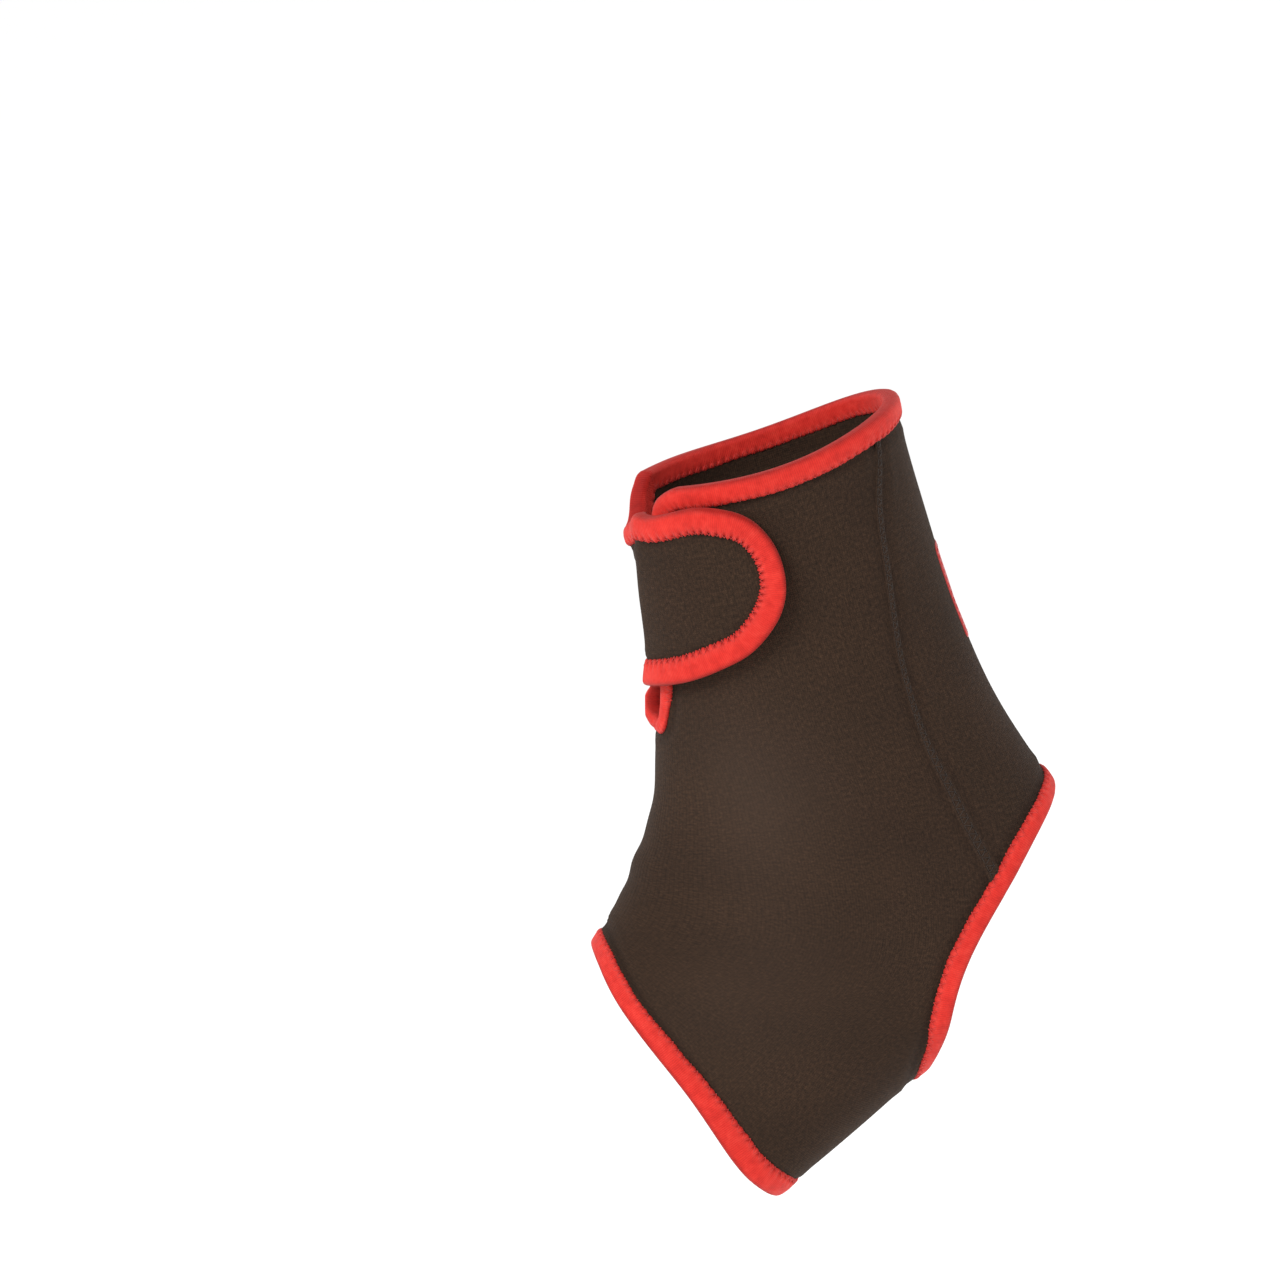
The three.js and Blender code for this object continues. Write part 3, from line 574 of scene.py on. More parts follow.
# --------------------------------------------------------------- seams as paths
def along(points, step):
    """Places spaced evenly along a smooth line through (section, angle) points."""
    pts = np.asarray(points, float)
    d = np.append(0, np.cumsum(np.linalg.norm(np.diff(pts * (MM_PER_SECTION, MM_PER_DEG), axis=0), axis=1)))
    fs, fa = Spline(d, pts[:, 0]), Spline(d, pts[:, 1])
    q = np.linspace(0, d[-1], 1500)
    s, a = fs(q), fa(q)
    p = sheet(s, a, np.zeros(len(s)))
    run = np.append(0, np.cumsum(np.linalg.norm(np.diff(p, axis=0), axis=1)))
    n = max(2, int(run[-1] / step))
    t = np.linspace(0, run[-1], n + 1)
    return np.interp(t, run, s), np.interp(t, run, a), t


seam_lines = []
for mirror in (False, True):
    rows = [(s, 360 - a if mirror else a) for s, a in SEAM]
    s, a, t = along(rows, 0.7)
    g = inside(s, a)
    keep = g > 1.6
    seam_lines.append((s[keep], a[keep], t[keep] - t[keep][0]))
seam_points = [np.stack([a * MM_PER_DEG, s * MM_PER_SECTION], -1) for s, a, _ in seam_lines]


def seam_offset(s, a):
    """Distance from the nearer seam, signed, and how far along it, in millimetres."""
    q = np.stack([a * MM_PER_DEG, s * MM_PER_SECTION], -1)
    best, run = np.full(len(q), 1e3), np.zeros(len(q))
    for pts, (_, _, t) in zip(seam_points, seam_lines):
        d0 = pts[1:] - pts[:-1]
        for c in range(0, len(q), 4000):
            qq = q[c:c + 4000]
            near = np.abs(qq[:, 0] - pts[:, 0].mean()) < 16
            if not near.any():
                continue
            k = np.flatnonzero(near)
            d = np.linalg.norm(qq[k][:, None] - pts[None, :-1], axis=2)
            m = d.argmin(1)
            side = np.sign(d0[m, 0] * (qq[k][:, 1] - pts[m, 1]) - d0[m, 1] * (qq[k][:, 0] - pts[m, 0]))
            dist = d[np.arange(len(k)), m]
            better = dist < np.abs(best[c + k])
            best[c + k[better]] = (side * dist)[better]
            run[c + k[better]] = t[m[better]]
    return best, run


# ---------------------------------------------------------- the sheet's relief
def relief(s, a, g):
    """Waves, puckers and ridges of the worn cloth, which run on across the joined column."""
    k = smooth((a - 340) / 26.0)
    return ripples(s, a, a * MM_PER_DEG, g) * (1 - k) + ripples(s, a, (a - 360) * MM_PER_DEG, g) * k


def ripples(s, a, u, g):
    """Slow waves of the worn cloth, puckers beside the tapes and the seams' ridges, in millimetres."""
    v = s * MM_PER_SECTION
    w = 0.22 * np.sin(u / 15.0 + 1.3) * np.sin(v / 21.0 + 0.4) + 0.14 * np.sin(u / 7.3 + v / 11.7 + 2.0)
    w += 0.10 * np.sin(u / 9.1 - v / 6.3 + 0.7)
    # soft folds that cross the front of the bend
    bend = np.exp(-((s - 7.2) / 1.9) ** 2)
    front = np.exp(-((((a + 180) % 360) - 180) / 62.0) ** 2)
    w += 0.32 * bend * front * np.sin(v / 4.6 + 0.9 * np.sin(u / 12.0))
    # pulled down beside the tape, with a low roll behind it
    w -= 0.38 * np.exp(-((g - TAPE_IN - 0.2) / 1.3) ** 2)
    w += 0.22 * np.exp(-((g - TAPE_IN - 3.4) / 1.8) ** 2)
    w += 0.10 * np.sin(u / 0.95 + v / 0.83) * np.exp(-((g - TAPE_IN - 1.2) / 1.8) ** 2)
    d, t = seam_offset(s, a)
    wide = 1.5 + 1.0 * smooth((t - 78) / 45)
    w += 0.16 * np.exp(-(d / (0.8 * wide)) ** 2)
    w -= 0.18 * np.exp(-((np.abs(d) - wide - 0.9) / 0.9) ** 2) * (1 + 0.25 * np.sin(t / PITCH * 2 * math.pi))
    w += 0.26 * np.exp(-((np.abs(d) - wide - 4.2) / 2.4) ** 2) * (0.6 + 0.4 * np.sin(t / 5.3 + np.sign(d)))
    return w * smooth(g / 3.0 + 0.25)


# ----------------------------------------------------------------------- body
sections = np.arange(0.60, 14.80, GRID / MM_PER_SECTION)
turns = int(round(2 * math.pi * 45 / GRID))
e = 2 * math.pi * np.arange(turns + 1) / turns
spread = np.unwrap(np.arctan2(0.80 * np.sin(e), np.cos(e)))
angles = SLIT + np.degrees(spread)
angles[-1] = SLIT + 360
angles = np.concatenate([angles, SLIT + 360 + np.degrees(spread[1:])[np.degrees(spread[1:]) + SLIT < 85]])
grid_v, grid_f = cut_grid(sections, angles, inside, 0.38, lambda s, a: (s > 4.26) & (a > SLIT + 360.1))
wrap_v, wrap_f, wrap_l = weld(grid_v, grid_f)


def slab(verts, faces, loops, top, bottom):
    """A closed solid between two heights, each a number or one for each corner."""
    s, a = verts[:, 0], verts[:, 1]
    one = np.ones(len(s))
    points = np.concatenate([sheet(s, a, top * one), sheet(s, a, bottom * one)])
    n = len(s)
    out = [tuple(f) for f in faces] + [tuple(n + i for i in reversed(f)) for f in faces]
    for loop in loops:
        for k, i in enumerate(loop):
            j = loop[(k + 1) % len(loop)]
            out.append((i, n + i, n + j, j))
    return points, out


def outside_in(points, faces):
    """Faces turned so that the solid's volume is positive."""
    p = np.asarray(points)
    tri = np.array([(f[0], f[k], f[k + 1]) for f in faces for k in range(1, len(f) - 1)])
    vol = np.einsum("ij,ij->i", p[tri[:, 0]], np.cross(p[tri[:, 1]], p[tri[:, 2]])).sum()
    return faces if vol > 0 else [tuple(reversed(f)) for f in faces]


ws, wa = wrap_v[:, 0], wrap_v[:, 1]
wg = inside(ws, wa)
wrel = relief(ws, wa, wg)
pts, fcs = slab(wrap_v, wrap_f, wrap_l, wrel, wrel * 0.7 - SHEET)
wd, wt = seam_offset(ws, wa)
wide_at = 1.5 + 1.0 * smooth((wt - 78) / 45)
# painted shade in the grooves beside the seams and where the cloth dips beside the tapes
groove_shade = 0.26 * np.exp(-((np.abs(wd) - wide_at - 0.5) / 1.0) ** 2) + 0.5 * np.exp(-((wg - TAPE_IN) / 1.0) ** 2) * (wg < TAPE_IN + 2)
skin_p = skin(ws, wa)
# paler where the bend pulls the knit, with a painted highlight where light falls on the front of the ankle, fading
# towards the front ridge
stretch_and_highlight = np.zeros(len(ws))
for my, mz, radius, most in ((-33.0, 38.0, 27.0, 0.55), (-52.0, -12.0, 34.0, 0.25)):
    stretch_and_highlight += most * np.exp(-((skin_p[:, 1] - my) ** 2 + (skin_p[:, 2] - mz) ** 2) / radius ** 2)
stretch_and_highlight *= smooth((np.abs(((wa + 180) % 360) - 180) - 4) / 42)
two = lambda x: np.concatenate([x, x])
body = make("neoprene_wrap", pts, outside_in(pts, fcs), NEOPRENE,
            {"groove_shade": np.concatenate([groove_shade, groove_shade * 0.5]), "stretch_and_highlight": two(stretch_and_highlight)},
            "body")
# each face's corners lie together in the cut cloth, also where it passes the joined column
corner = np.empty(len(body.data.loops), np.int32)
body.data.loops.foreach_get("vertex_index", corner)
sides = np.empty(len(body.data.polygons), np.int32)
body.data.polygons.foreach_get("loop_total", sides)
first = np.append(0, np.cumsum(sides)[:-1])
ca = two(wa)[corner]
passes = (np.maximum.reduceat(ca, first) > 250) & (np.minimum.reduceat(ca, first) < 110)
ca = ca + 360 * (np.repeat(passes, sides) & (ca < 180))
lay = np.zeros((len(ca), 3), np.float32)
lay[:, :2] = flat(two(ws)[corner], ca)
body.data.attributes.new("flat_mm", "FLOAT_VECTOR", "CORNER").data.foreach_set("vector", lay.ravel())

# ---------------------------------------------------------------------- tapes
def walk(s, a, way, distance):
    """Places that lie a distance away over the sheet, in a direction given in space."""
    s, a = np.array(s, float), np.array(a, float)
    distance = np.broadcast_to(np.asarray(distance, float), s.shape)
    steps = max(1, int(math.ceil(np.abs(distance).max() / 2.0)))
    for _ in range(steps):
        z = np.zeros(len(s))
        p = sheet(s, a, z)
        ds = (sheet(s + 0.01, a, z) - p) / 0.01
        da = (sheet(s, a + 0.1, z) - p) / 0.1
        ss, sa, aa = (ds * ds).sum(-1), (ds * da).sum(-1), (da * da).sum(-1)
        rs, ra = (ds * way).sum(-1), (da * way).sum(-1)
        det = ss * aa - sa * sa
        us, ua = (rs * aa - ra * sa) / det, (ra * ss - rs * sa) / det
        length = np.linalg.norm(ds * us[:, None] + da * ua[:, None], axis=-1)
        s = s + us * distance / steps / length
        a = a + ua * distance / steps / length
    return s, a


def edge_path(loop, step, turn_mm):
    """Evenly spaced places along an edge loop, with the distance along it to each and its whole length."""
    sa = wrap_v[loop]
    # the loop starts where it passes the joined column, if it does
    sa = np.roll(sa, -1 - int(np.argmax(np.abs(np.diff(np.append(sa[:, 1], sa[0, 1]))))), axis=0)
    p = sheet(sa[:, 0], sa[:, 1], np.zeros(len(sa)))
    keep, last = [0], p[0]
    for k in range(1, len(p)):
        if np.linalg.norm(p[k] - last) > 0.75:
            keep.append(k)
            last = p[k]
    if np.linalg.norm(p[0] - last) < 0.75:
        keep.pop()
    sa, p = sa[keep].copy(), p[keep]
    a = sa[:, 1]
    jump = np.round(np.diff(np.append(a, a[0])) / 360)      # where the loop passes the joined column
    shift = -360 * np.cumsum(np.append(0, jump[:-1]))
    a = a + shift
    close = a[0] + 360 * -jump.sum() if abs(jump.sum()) else a[0]
    P = np.append(p, p[:1], axis=0)
    d = np.append(0, np.cumsum(np.linalg.norm(np.diff(P, axis=0), axis=1)))
    total = d[-1]
    ds = np.concatenate([d[:-1] - total, d[:-1], d[:-1] + total, [2 * total]])
    ss = np.concatenate([sa[:, 0]] * 3 + [sa[:1, 0]])
    aa = np.concatenate([a - (close - a[0]), a, a + (close - a[0]), [a[0] + 2 * (close - a[0])]])
    fs, fa = Spline(ds, ss), Spline(ds, aa)
    q = np.linspace(0, total, int(total / 0.12) + 1)
    s, a, = fs(q), fa(q)
    return s, a, q, total


def resample(s, a, q, total, step, turn):
    p = sheet(s, a, np.zeros(len(s)))
    ring = p[:-1]
    tangent = unit(np.roll(ring, -1, axis=0) - np.roll(ring, 1, axis=0))
    tangent = np.append(tangent, tangent[:1], axis=0)
    n = outward(s, a)
    way = unit(np.cross(n, tangent))
    bend = np.degrees(np.arccos(np.clip((way[1:] * way[:-1]).sum(-1), -1, 1)))
    m = np.append(0, np.cumsum(np.diff(q) / step + bend / turn))
    t = np.linspace(0, m[-1], int(m[-1]) + 1)[:-1]
    where = np.interp(t, m, q)
    pick = lambda x: np.stack([np.interp(where, q, x[:, k]) for k in range(x.shape[1])], -1) if x.ndim > 1 else np.interp(where, q, x)
    return pick(s), pick(a), unit(pick(way)), where


def soft(x, sigma, closed=True):
    """Gaussian smoothing of ring values along a loop."""
    r = int(3 * sigma) + 1
    k = np.exp(-0.5 * (np.arange(-r, r + 1) / sigma) ** 2)
    k /= k.sum()
    out = np.zeros_like(x)
    for w, o in zip(k, range(-r, r + 1)):
        out += w * np.roll(x, o, axis=0)
    return out


# Height of the folded tape over the sheet, by share of its width from the fold
# to its stitched inner edge.
CROWN = [(1.0, -0.28), (1.02, 0.20), (0.985, 0.52), (0.93, 0.78), (0.84, 0.97), (0.70, 1.10), (0.54, 1.18),
         (0.37, 1.22), (0.20, 1.22)]
FOLD = [(0.35, 1.14), (-0.35, 0.86), (-0.85, 0.32), (-1.08, -0.45)]      # in from the edge, height
FOLD_SHADE = [0.08, 0.45, 0.85, 0.95]       # painted shade along the fold, darkest where it turns under


def slit_near(s, a):
    d = np.abs((a + 180) % 360 - 180 - SLIT)
    return np.where(d < 30, smooth((s - 3.9) / 0.4) * smooth((5.1 - s) / 0.3), 0)


def wobble(t, total, seed, terms):
    """Slow variation along a closed tape."""
    rng = np.random.default_rng(seed)
    out = np.zeros(len(t))
    for k in terms:
        out += np.sin(2 * math.pi * k * t / total + rng.uniform(0, 6.28)) / len(terms)
    return out


def rim_shape(s, a):
    """Width of the tape, how far its stitched edge swings, and its puff, at a place."""
    tab = smooth((a - 358) / 8.0) * smooth((4.5 - s) / 0.5)
    wide = 0.45 + 0.8 * smooth((s - 2.2) / 0.8) + 0.4 * (1 - smooth((s - 1.2) / 0.5))
    return 5.3 + wide * tab, 0.14 + 0.30 * tab, np.ones(len(s))


def heel_shape(s, a):
    sole = smooth((s - 10.2) / 0.7)
    return 4.6 + 0.65 * smooth((s - 6.8) / 1.2) - 0.9 * sole, np.full(len(s), 0.18), 1 - 0.55 * sole


def foot_shape(s, a):
    d = np.abs((a - SLIT + 180) % 360 - 180)
    return 4.95 + 2.1 * smooth((d - 20) / 80.0), np.full(len(s), 0.16), 0.70 + 0.30 * smooth((d - 10) / 30.0)


def tape(name, node, loop, seed, shape):
    s, a, q, total = edge_path(loop, 0.5, 9.0)
    count = max(8, int(round(total / PITCH)))
    pitch = total / count
    s, a, way, t = resample(s, a, q, total, pitch / 6, 8.0)
    way = unit(soft(way, 1.2))
    phase = 2 * math.pi * t / pitch
    near = slit_near(s, a)
    base, teeth, flatten = shape(s, a)
    width = (base + 0.26 * wobble(t, total, seed, (5, 9, 14, 23))) * (1 - 0.24 * near)
    nip = (0.5 - 0.5 * np.cos(phase)) ** 1.6
    edge = width + teeth * np.cos(phase) * (1 - 0.5 * near)
    puff = (1 + 0.10 * wobble(t, total, seed + 7, (7, 13, 21, 34)) * (1 - near)) * flatten
    ring_in, ring_high, tape_shade, pale = [], [], [], []
    for u, h in CROWN:
        low = h * puff * (1 - 0.55 * nip * math.exp(-((u - 0.86) / 0.13) ** 2)) if h > 0 else np.full(len(t), h)
        ring_in.append(u * edge)
        ring_high.append(low)
        # painted shade at the stitched edge, where the tape dips to the cloth, and in the nips of the stitches
        tape_shade.append(np.full(len(t), 0.55 * math.exp(-((u - 1.0) / 0.09) ** 2)) + 0.5 * nip * math.exp(-((u - 0.93) / 0.09) ** 2))
        pale.append(np.full(len(t), math.exp(-((u - 0.82) / 0.12) ** 2)))
    for (x, h), dark in zip(FOLD, FOLD_SHADE):
        ring_in.append(np.full(len(t), x))
        ring_high.append(h * puff if h > 0 else np.full(len(t), h))
        tape_shade.append(np.full(len(t), dark))
        pale.append(np.zeros(len(t)))
    half = len(ring_in)
    for k in range(half - 1, -1, -1):                     # the half that is folded to the inner face
        ring_in.append(ring_in[k])
        ring_high.append(-SHEET - ring_high[k] * (0.86 if k < len(CROWN) else 1.0))
        tape_shade.append(tape_shade[k])
        pale.append(pale[k])
    for x, h in ((0.99, -SHEET - 0.02), (0.0, -SHEET - 0.02), (0.0, 0.02), (0.99, 0.02)):
        ring_in.append(x * edge - 0.12)
        ring_high.append(np.full(len(t), h))
        tape_shade.append(np.zeros(len(t)))
        pale.append(np.zeros(len(t)))
    m, n = len(ring_in), len(t)
    pts = np.zeros((n, m, 3))
    around = 0.0
    attr = np.zeros((n, m, 2))
    for k in range(m):
        s1, a1 = walk(s, a, way, ring_in[k])
        a1 = np.where((a < 180) & (a1 > 180), 179.0, a1)
        up = np.where(a < 180, 0.0, lift(s1, a1))
        g = np.clip(ring_in[k], 0, None)
        h = ring_high[k] + (relief(s1, a1, g) * 0.5 if ring_high[k].mean() > -SHEET / 2 else relief(s1, a1, g) * 0.35)
        pts[:, k] = skin(s1, a1) + outward(s1, a1) * (up + h)[:, None]
        if k:
            around += float(np.linalg.norm(pts[:, k] - pts[:, k - 1], axis=1).mean())
        attr[:, k, 0], attr[:, k, 1] = t, around
    faces = []
    for i in range(n):
        j = (i + 1) % n
        for k in range(m):
            l = (k + 1) % m
            faces.append((i * m + k, j * m + k, j * m + l, i * m + l))
    flat_pts = pts.reshape(-1, 3)
    ob = make(name, flat_pts, outside_in(flat_pts, faces), TAPE,
              {"flat_mm": attr.reshape(-1, 2), "tape_shade": np.stack(tape_shade, 1).ravel(), "pale": np.stack(pale, 1).ravel()}, node)
    return ob, dict(s=s, a=a, way=way, t=t, width=width, edge=edge, pitch=pitch, count=count, total=total, puff=puff, near=near, swing=teeth)


def tubes(name, lines, radius, material, sides=6):
    """Round threads along lines of points, their ends closed."""
    pts, faces, attr = [], [], []
    for line in lines:
        line = np.asarray(line, float)
        if len(line) < 2:
            continue
        d = unit(np.gradient(line, axis=0))
        ref = np.tile(np.array([0.31, 0.52, 0.79]), (len(line), 1))
        x = unit(np.cross(d, ref))
        y = np.cross(d, x)
        run = np.append(0, np.cumsum(np.linalg.norm(np.diff(line, axis=0), axis=1)))
        base = len(pts)
        for k in range(len(line)):
            for j in range(sides):
                an = 2 * math.pi * j / sides
                pts.append(line[k] + radius * (math.cos(an) * x[k] + math.sin(an) * y[k]))
                attr.append((run[k], j / sides))
        for k in range(len(line) - 1):
            for j in range(sides):
                l = (j + 1) % sides
                faces.append((base + k * sides + j, base + (k + 1) * sides + j, base + (k + 1) * sides + l, base + k * sides + l))
        faces.append(tuple(base + j for j in range(sides)))
        e = base + (len(line) - 1) * sides
        faces.append(tuple(e + j for j in reversed(range(sides))))
    pts = np.array(pts)
    return make(name, pts, outside_in(pts, faces), material, {"flat_mm": np.array(attr)})


def place(info, t, into, high, inner=False):
    """Points over a tape: t along it, into the sheet from its edge, and a height over the face."""
    T, total = info["t"], info["total"]
    t = np.asarray(t, float) % total
    tt = np.append(T, total)
    near_jump = np.searchsorted(tt, t, side="right") - 1
    i = np.clip(near_jump, 0, len(T) - 1)
    j = (i + 1) % len(T)
    f = np.clip((t - tt[i]) / np.maximum(np.where(j == 0, total, T[j]) - tt[i], 1e-6), 0, 1)
    ai, aj = info["a"][i], info["a"][j]
    aj = np.where(np.abs(aj - ai) > 180, ai, aj)
    s = info["s"][i] * (1 - f) + info["s"][j] * f
    a = ai * (1 - f) + aj * f
    way = unit(info["way"][i] * (1 - f)[:, None] + info["way"][j] * f[:, None])
    s1, a1 = walk(s, a, way, into)
    a1 = np.where((a < 180) & (a1 > 180), 179.0, a1)
    up = np.where(a < 180, 0.0, lift(s1, a1))
    rel = relief(s1, a1, np.clip(into, 0, None))
    if inner:
        h = -SHEET - high + rel * 0.35
    else:
        h = high + rel * 0.5
    return skin(s1, a1) + outward(s1, a1) * (up + h)[:, None]


def zigzag(name, info, seed):
    """Thread that holds a tape: it crosses the tape's stitched edge on both faces."""
    rng = np.random.default_rng(seed)
    n, pitch = info["count"], info["pitch"]
    lines = []
    mid = np.append(info["t"], info["total"])
    width = lambda t: np.interp(t % info["total"], mid, np.append(info["width"], info["width"][0]))
    near = lambda t: np.interp(t % info["total"], mid, np.append(info["near"], info["near"][0]))
    swing = lambda t: np.interp(t % info["total"], mid, np.append(info["swing"], info["swing"][0]))
    puff = lambda t: np.minimum(np.interp(t % info["total"], mid, np.append(info["puff"], info["puff"][0])), 1)
    jitter = rng.normal(0, 0.10, (n + 1, 2))
    jitter[n] = jitter[0]
    for inner in (False, True):
        legs_t, legs_in, legs_h = [], [], []
        for k in range(n):
            t0, t1, t2 = (k + 0.0) * pitch, (k + 0.5) * pitch, (k + 1.0) * pitch
            reach0, reach2 = -1.75 + jitter[k, 0], -1.75 + jitter[k + 1, 0]
            if near(np.array([t1]))[0] > 0.6:
                continue
            out = 0.02 + 0.9 * swing(np.array([t1]))[0] + jitter[k, 1] * 0.8
            for (ta, ia, tb, ib) in ((t0, reach0, t1, out), (t1, out, t2, reach2)):
                f = np.array([0.0, 0.12, 0.35, 0.62, 0.86, 1.0])
                t = ta + (tb - ta) * f
                into = width(t) + ia + (ib - ia) * f
                over = np.clip((width(t) - into) / 1.75, -0.5, 1)          # 1 on the tape, below 0 on the cloth
                h = np.where(over > 0.12, (0.36 + 0.66 * np.clip(over, 0, 1) ** 0.7) * puff(t), 0.10)
                h = h + 0.12 * np.sin(np.pi * f)
                h[0 if ia < 0 else -1] -= 0.26
                h[-1 if ia < 0 else 0] -= 0.24
                legs_t.append(t)
                legs_in.append(into)
                legs_h.append(h)
        if not legs_t:
            continue
        T, I, H = np.concatenate(legs_t), np.concatenate(legs_in), np.concatenate(legs_h)
        P = place(info, T, I, H * (0.86 if inner else 1.0), inner)
        lines += list(P.reshape(-1, 6, 3))
    return tubes(name, lines, 0.14, RED_THREAD, 5)


loops = []
for loop in wrap_l:
    p = sheet(wrap_v[loop][:, 0], wrap_v[loop][:, 1], np.zeros(len(loop)))
    loops.append((p[:, 2].max(), p[:, 1].max(), loop))
loops.sort(key=lambda r: -r[0])
rim_loop = loops[0][2]
rest = sorted(loops[1:], key=lambda r: -len(r[2]))[:2]
heel_loop = max(rest, key=lambda r: r[1])[2]
foot_loop = min(rest, key=lambda r: r[1])[2]
pieces = []
for label_name, node, loop, seed, kind in (
        ("rim_tape", "rim_binding", rim_loop, 3, rim_shape), ("heel_tape", "heel_binding", heel_loop, 5, heel_shape),
        ("foot_tape", "foot_binding", foot_loop, 8, foot_shape)):
    ob, info = tape(label_name, node, loop, seed, kind)
    pieces.append(ob)
    pieces.append(zigzag(label_name + "_stitches", info, seed + 20))
    print(label_name, "length", round(info["total"], 1), "rings", len(info["t"]))

# ---------------------------------------------------------------------- seams
def seam(name, line):
    """Two flat joined edges: a low dark strip with two rows of stitches and cross threads."""
    s, a, t = line
    p = sheet(s, a, np.zeros(len(s)))
    tangent = unit(np.gradient(p, axis=0))
    side = unit(np.cross(outward(s, a), tangent))
    half = 1.25 + 0.9 * smooth((t - 78) / 45)
    phase = 2 * math.pi * t / PITCH
    shape = [(-1.12, -0.30), (-1.0, 0.03), (-0.80, 0.16), (-0.52, 0.05), (-0.26, 0.18), (0.0, 0.24), (0.26, 0.18),
             (0.52, 0.05), (0.80, 0.16), (1.0, 0.03), (1.12, -0.30)]
    pts, attr = [], []
    for u, h in shape:
        s1, a1 = walk(s, a, side, u * half * (1 + 0.06 * np.cos(phase + (0.8 if u > 0 else 0))))
        rel = relief(s1, a1, np.full(len(s1), 50.0))
        hh = h + rel + 0.06 * np.cos(phase) * (abs(u) < 0.9)
        pts.append(skin(s1, a1) + outward(s1, a1) * (hh + lift(s1, a1))[:, None])
        attr.append(np.stack([t, np.full(len(t), u * 1.3)], -1))
    pts, attr = np.stack(pts, 1), np.stack(attr, 1)
    n, m = pts.shape[:2]
    faces = []
    for i in range(n - 1):
        for k in range(m):
            l = (k + 1) % m
            faces.append((i * m + k, (i + 1) * m + k, (i + 1) * m + l, i * m + l))
    faces.append(tuple(range(m)))
    faces.append(tuple((n - 1) * m + k for k in reversed(range(m))))
    flat_pts = pts.reshape(-1, 3)
    # painted shade in the strip's grooves and along its tucked edges; the strip is also a little paler all over
    strip = make(name, flat_pts, outside_in(flat_pts, faces), NEOPRENE,
                 {"flat_mm": attr.reshape(-1, 2) + 3.0, "groove_shade": np.tile([0.5, 0.35, 0.0, 0.3, 0.0, 0.0, 0.0, 0.3, 0.0, 0.35, 0.5], n),
                  "stretch_and_highlight": np.full(n * m, 0.16)})
    # needle rows and the threads that cross between them
    lines = []
    count = int(t[-1] / PITCH)
    get = lambda x, q: np.interp(q, t, x)

    def at(q, u, h):
        s0, a0 = get(s, q), get(a, q)
        w = np.stack([get(side[:, k], q) for k in range(3)], -1)
        s1, a1 = walk(s0, a0, unit(w), u * get(half, q))
        rel = relief(s1, a1, np.full(len(s1), 50.0))
        return skin(s1, a1) + outward(s1, a1) * (h + rel)[:, None]

    for k in range(count):
        q0 = k * PITCH
        for u in (-0.52, 0.52):
            q = q0 + np.array([0.25, 0.5, 1.2, 1.9, 2.35])
            lines.append(at(q, np.full(5, u), np.array([0.0, 0.14, 0.20, 0.14, 0.0])))
        q = q0 + np.array([0.3, 0.75, 1.2, 1.4])
        lines.append(at(q, np.array([-0.5, -0.18, 0.2, 0.5]), np.array([0.06, 0.28, 0.28, 0.06])))
        q = q0 + np.array([1.5, 1.95, 2.4, 2.7])
        lines.append(at(q, np.array([0.5, 0.18, -0.2, -0.5]), np.array([0.06, 0.28, 0.28, 0.06])))
    threads = tubes(name + "_stitches", lines, 0.14, DARK_THREAD, 5)
    return [strip, threads]


pieces += seam("outer_seam", seam_lines[0])
pieces += seam("inner_seam", seam_lines[1])

# ----------------------------------------------------------------- hook patch
hook_v, hook_f = cut_grid(np.arange(1.42, 3.50, 0.07), np.arange(33, 78, 1.6), lambda s, a: from_tab(a, s) - (TAPE_IN + 3.2) , 0.36)
hook_v, hook_f, hook_l = weld(hook_v, hook_f)
hs, ha = hook_v[:, 0], hook_v[:, 1]
bump = 0.10 * np.sin(ha * 2.1) * np.sin(hs * 50)
pts, fcs = slab(hook_v, hook_f, hook_l, TAB_LIFT - SHEET - 0.22, 0.42 + bump)
pieces.append(make("hook_tape_patch", pts, outside_in(pts, fcs), HOOK, {"flat_mm": two(flat(hs, ha))}, "hook_patch"))

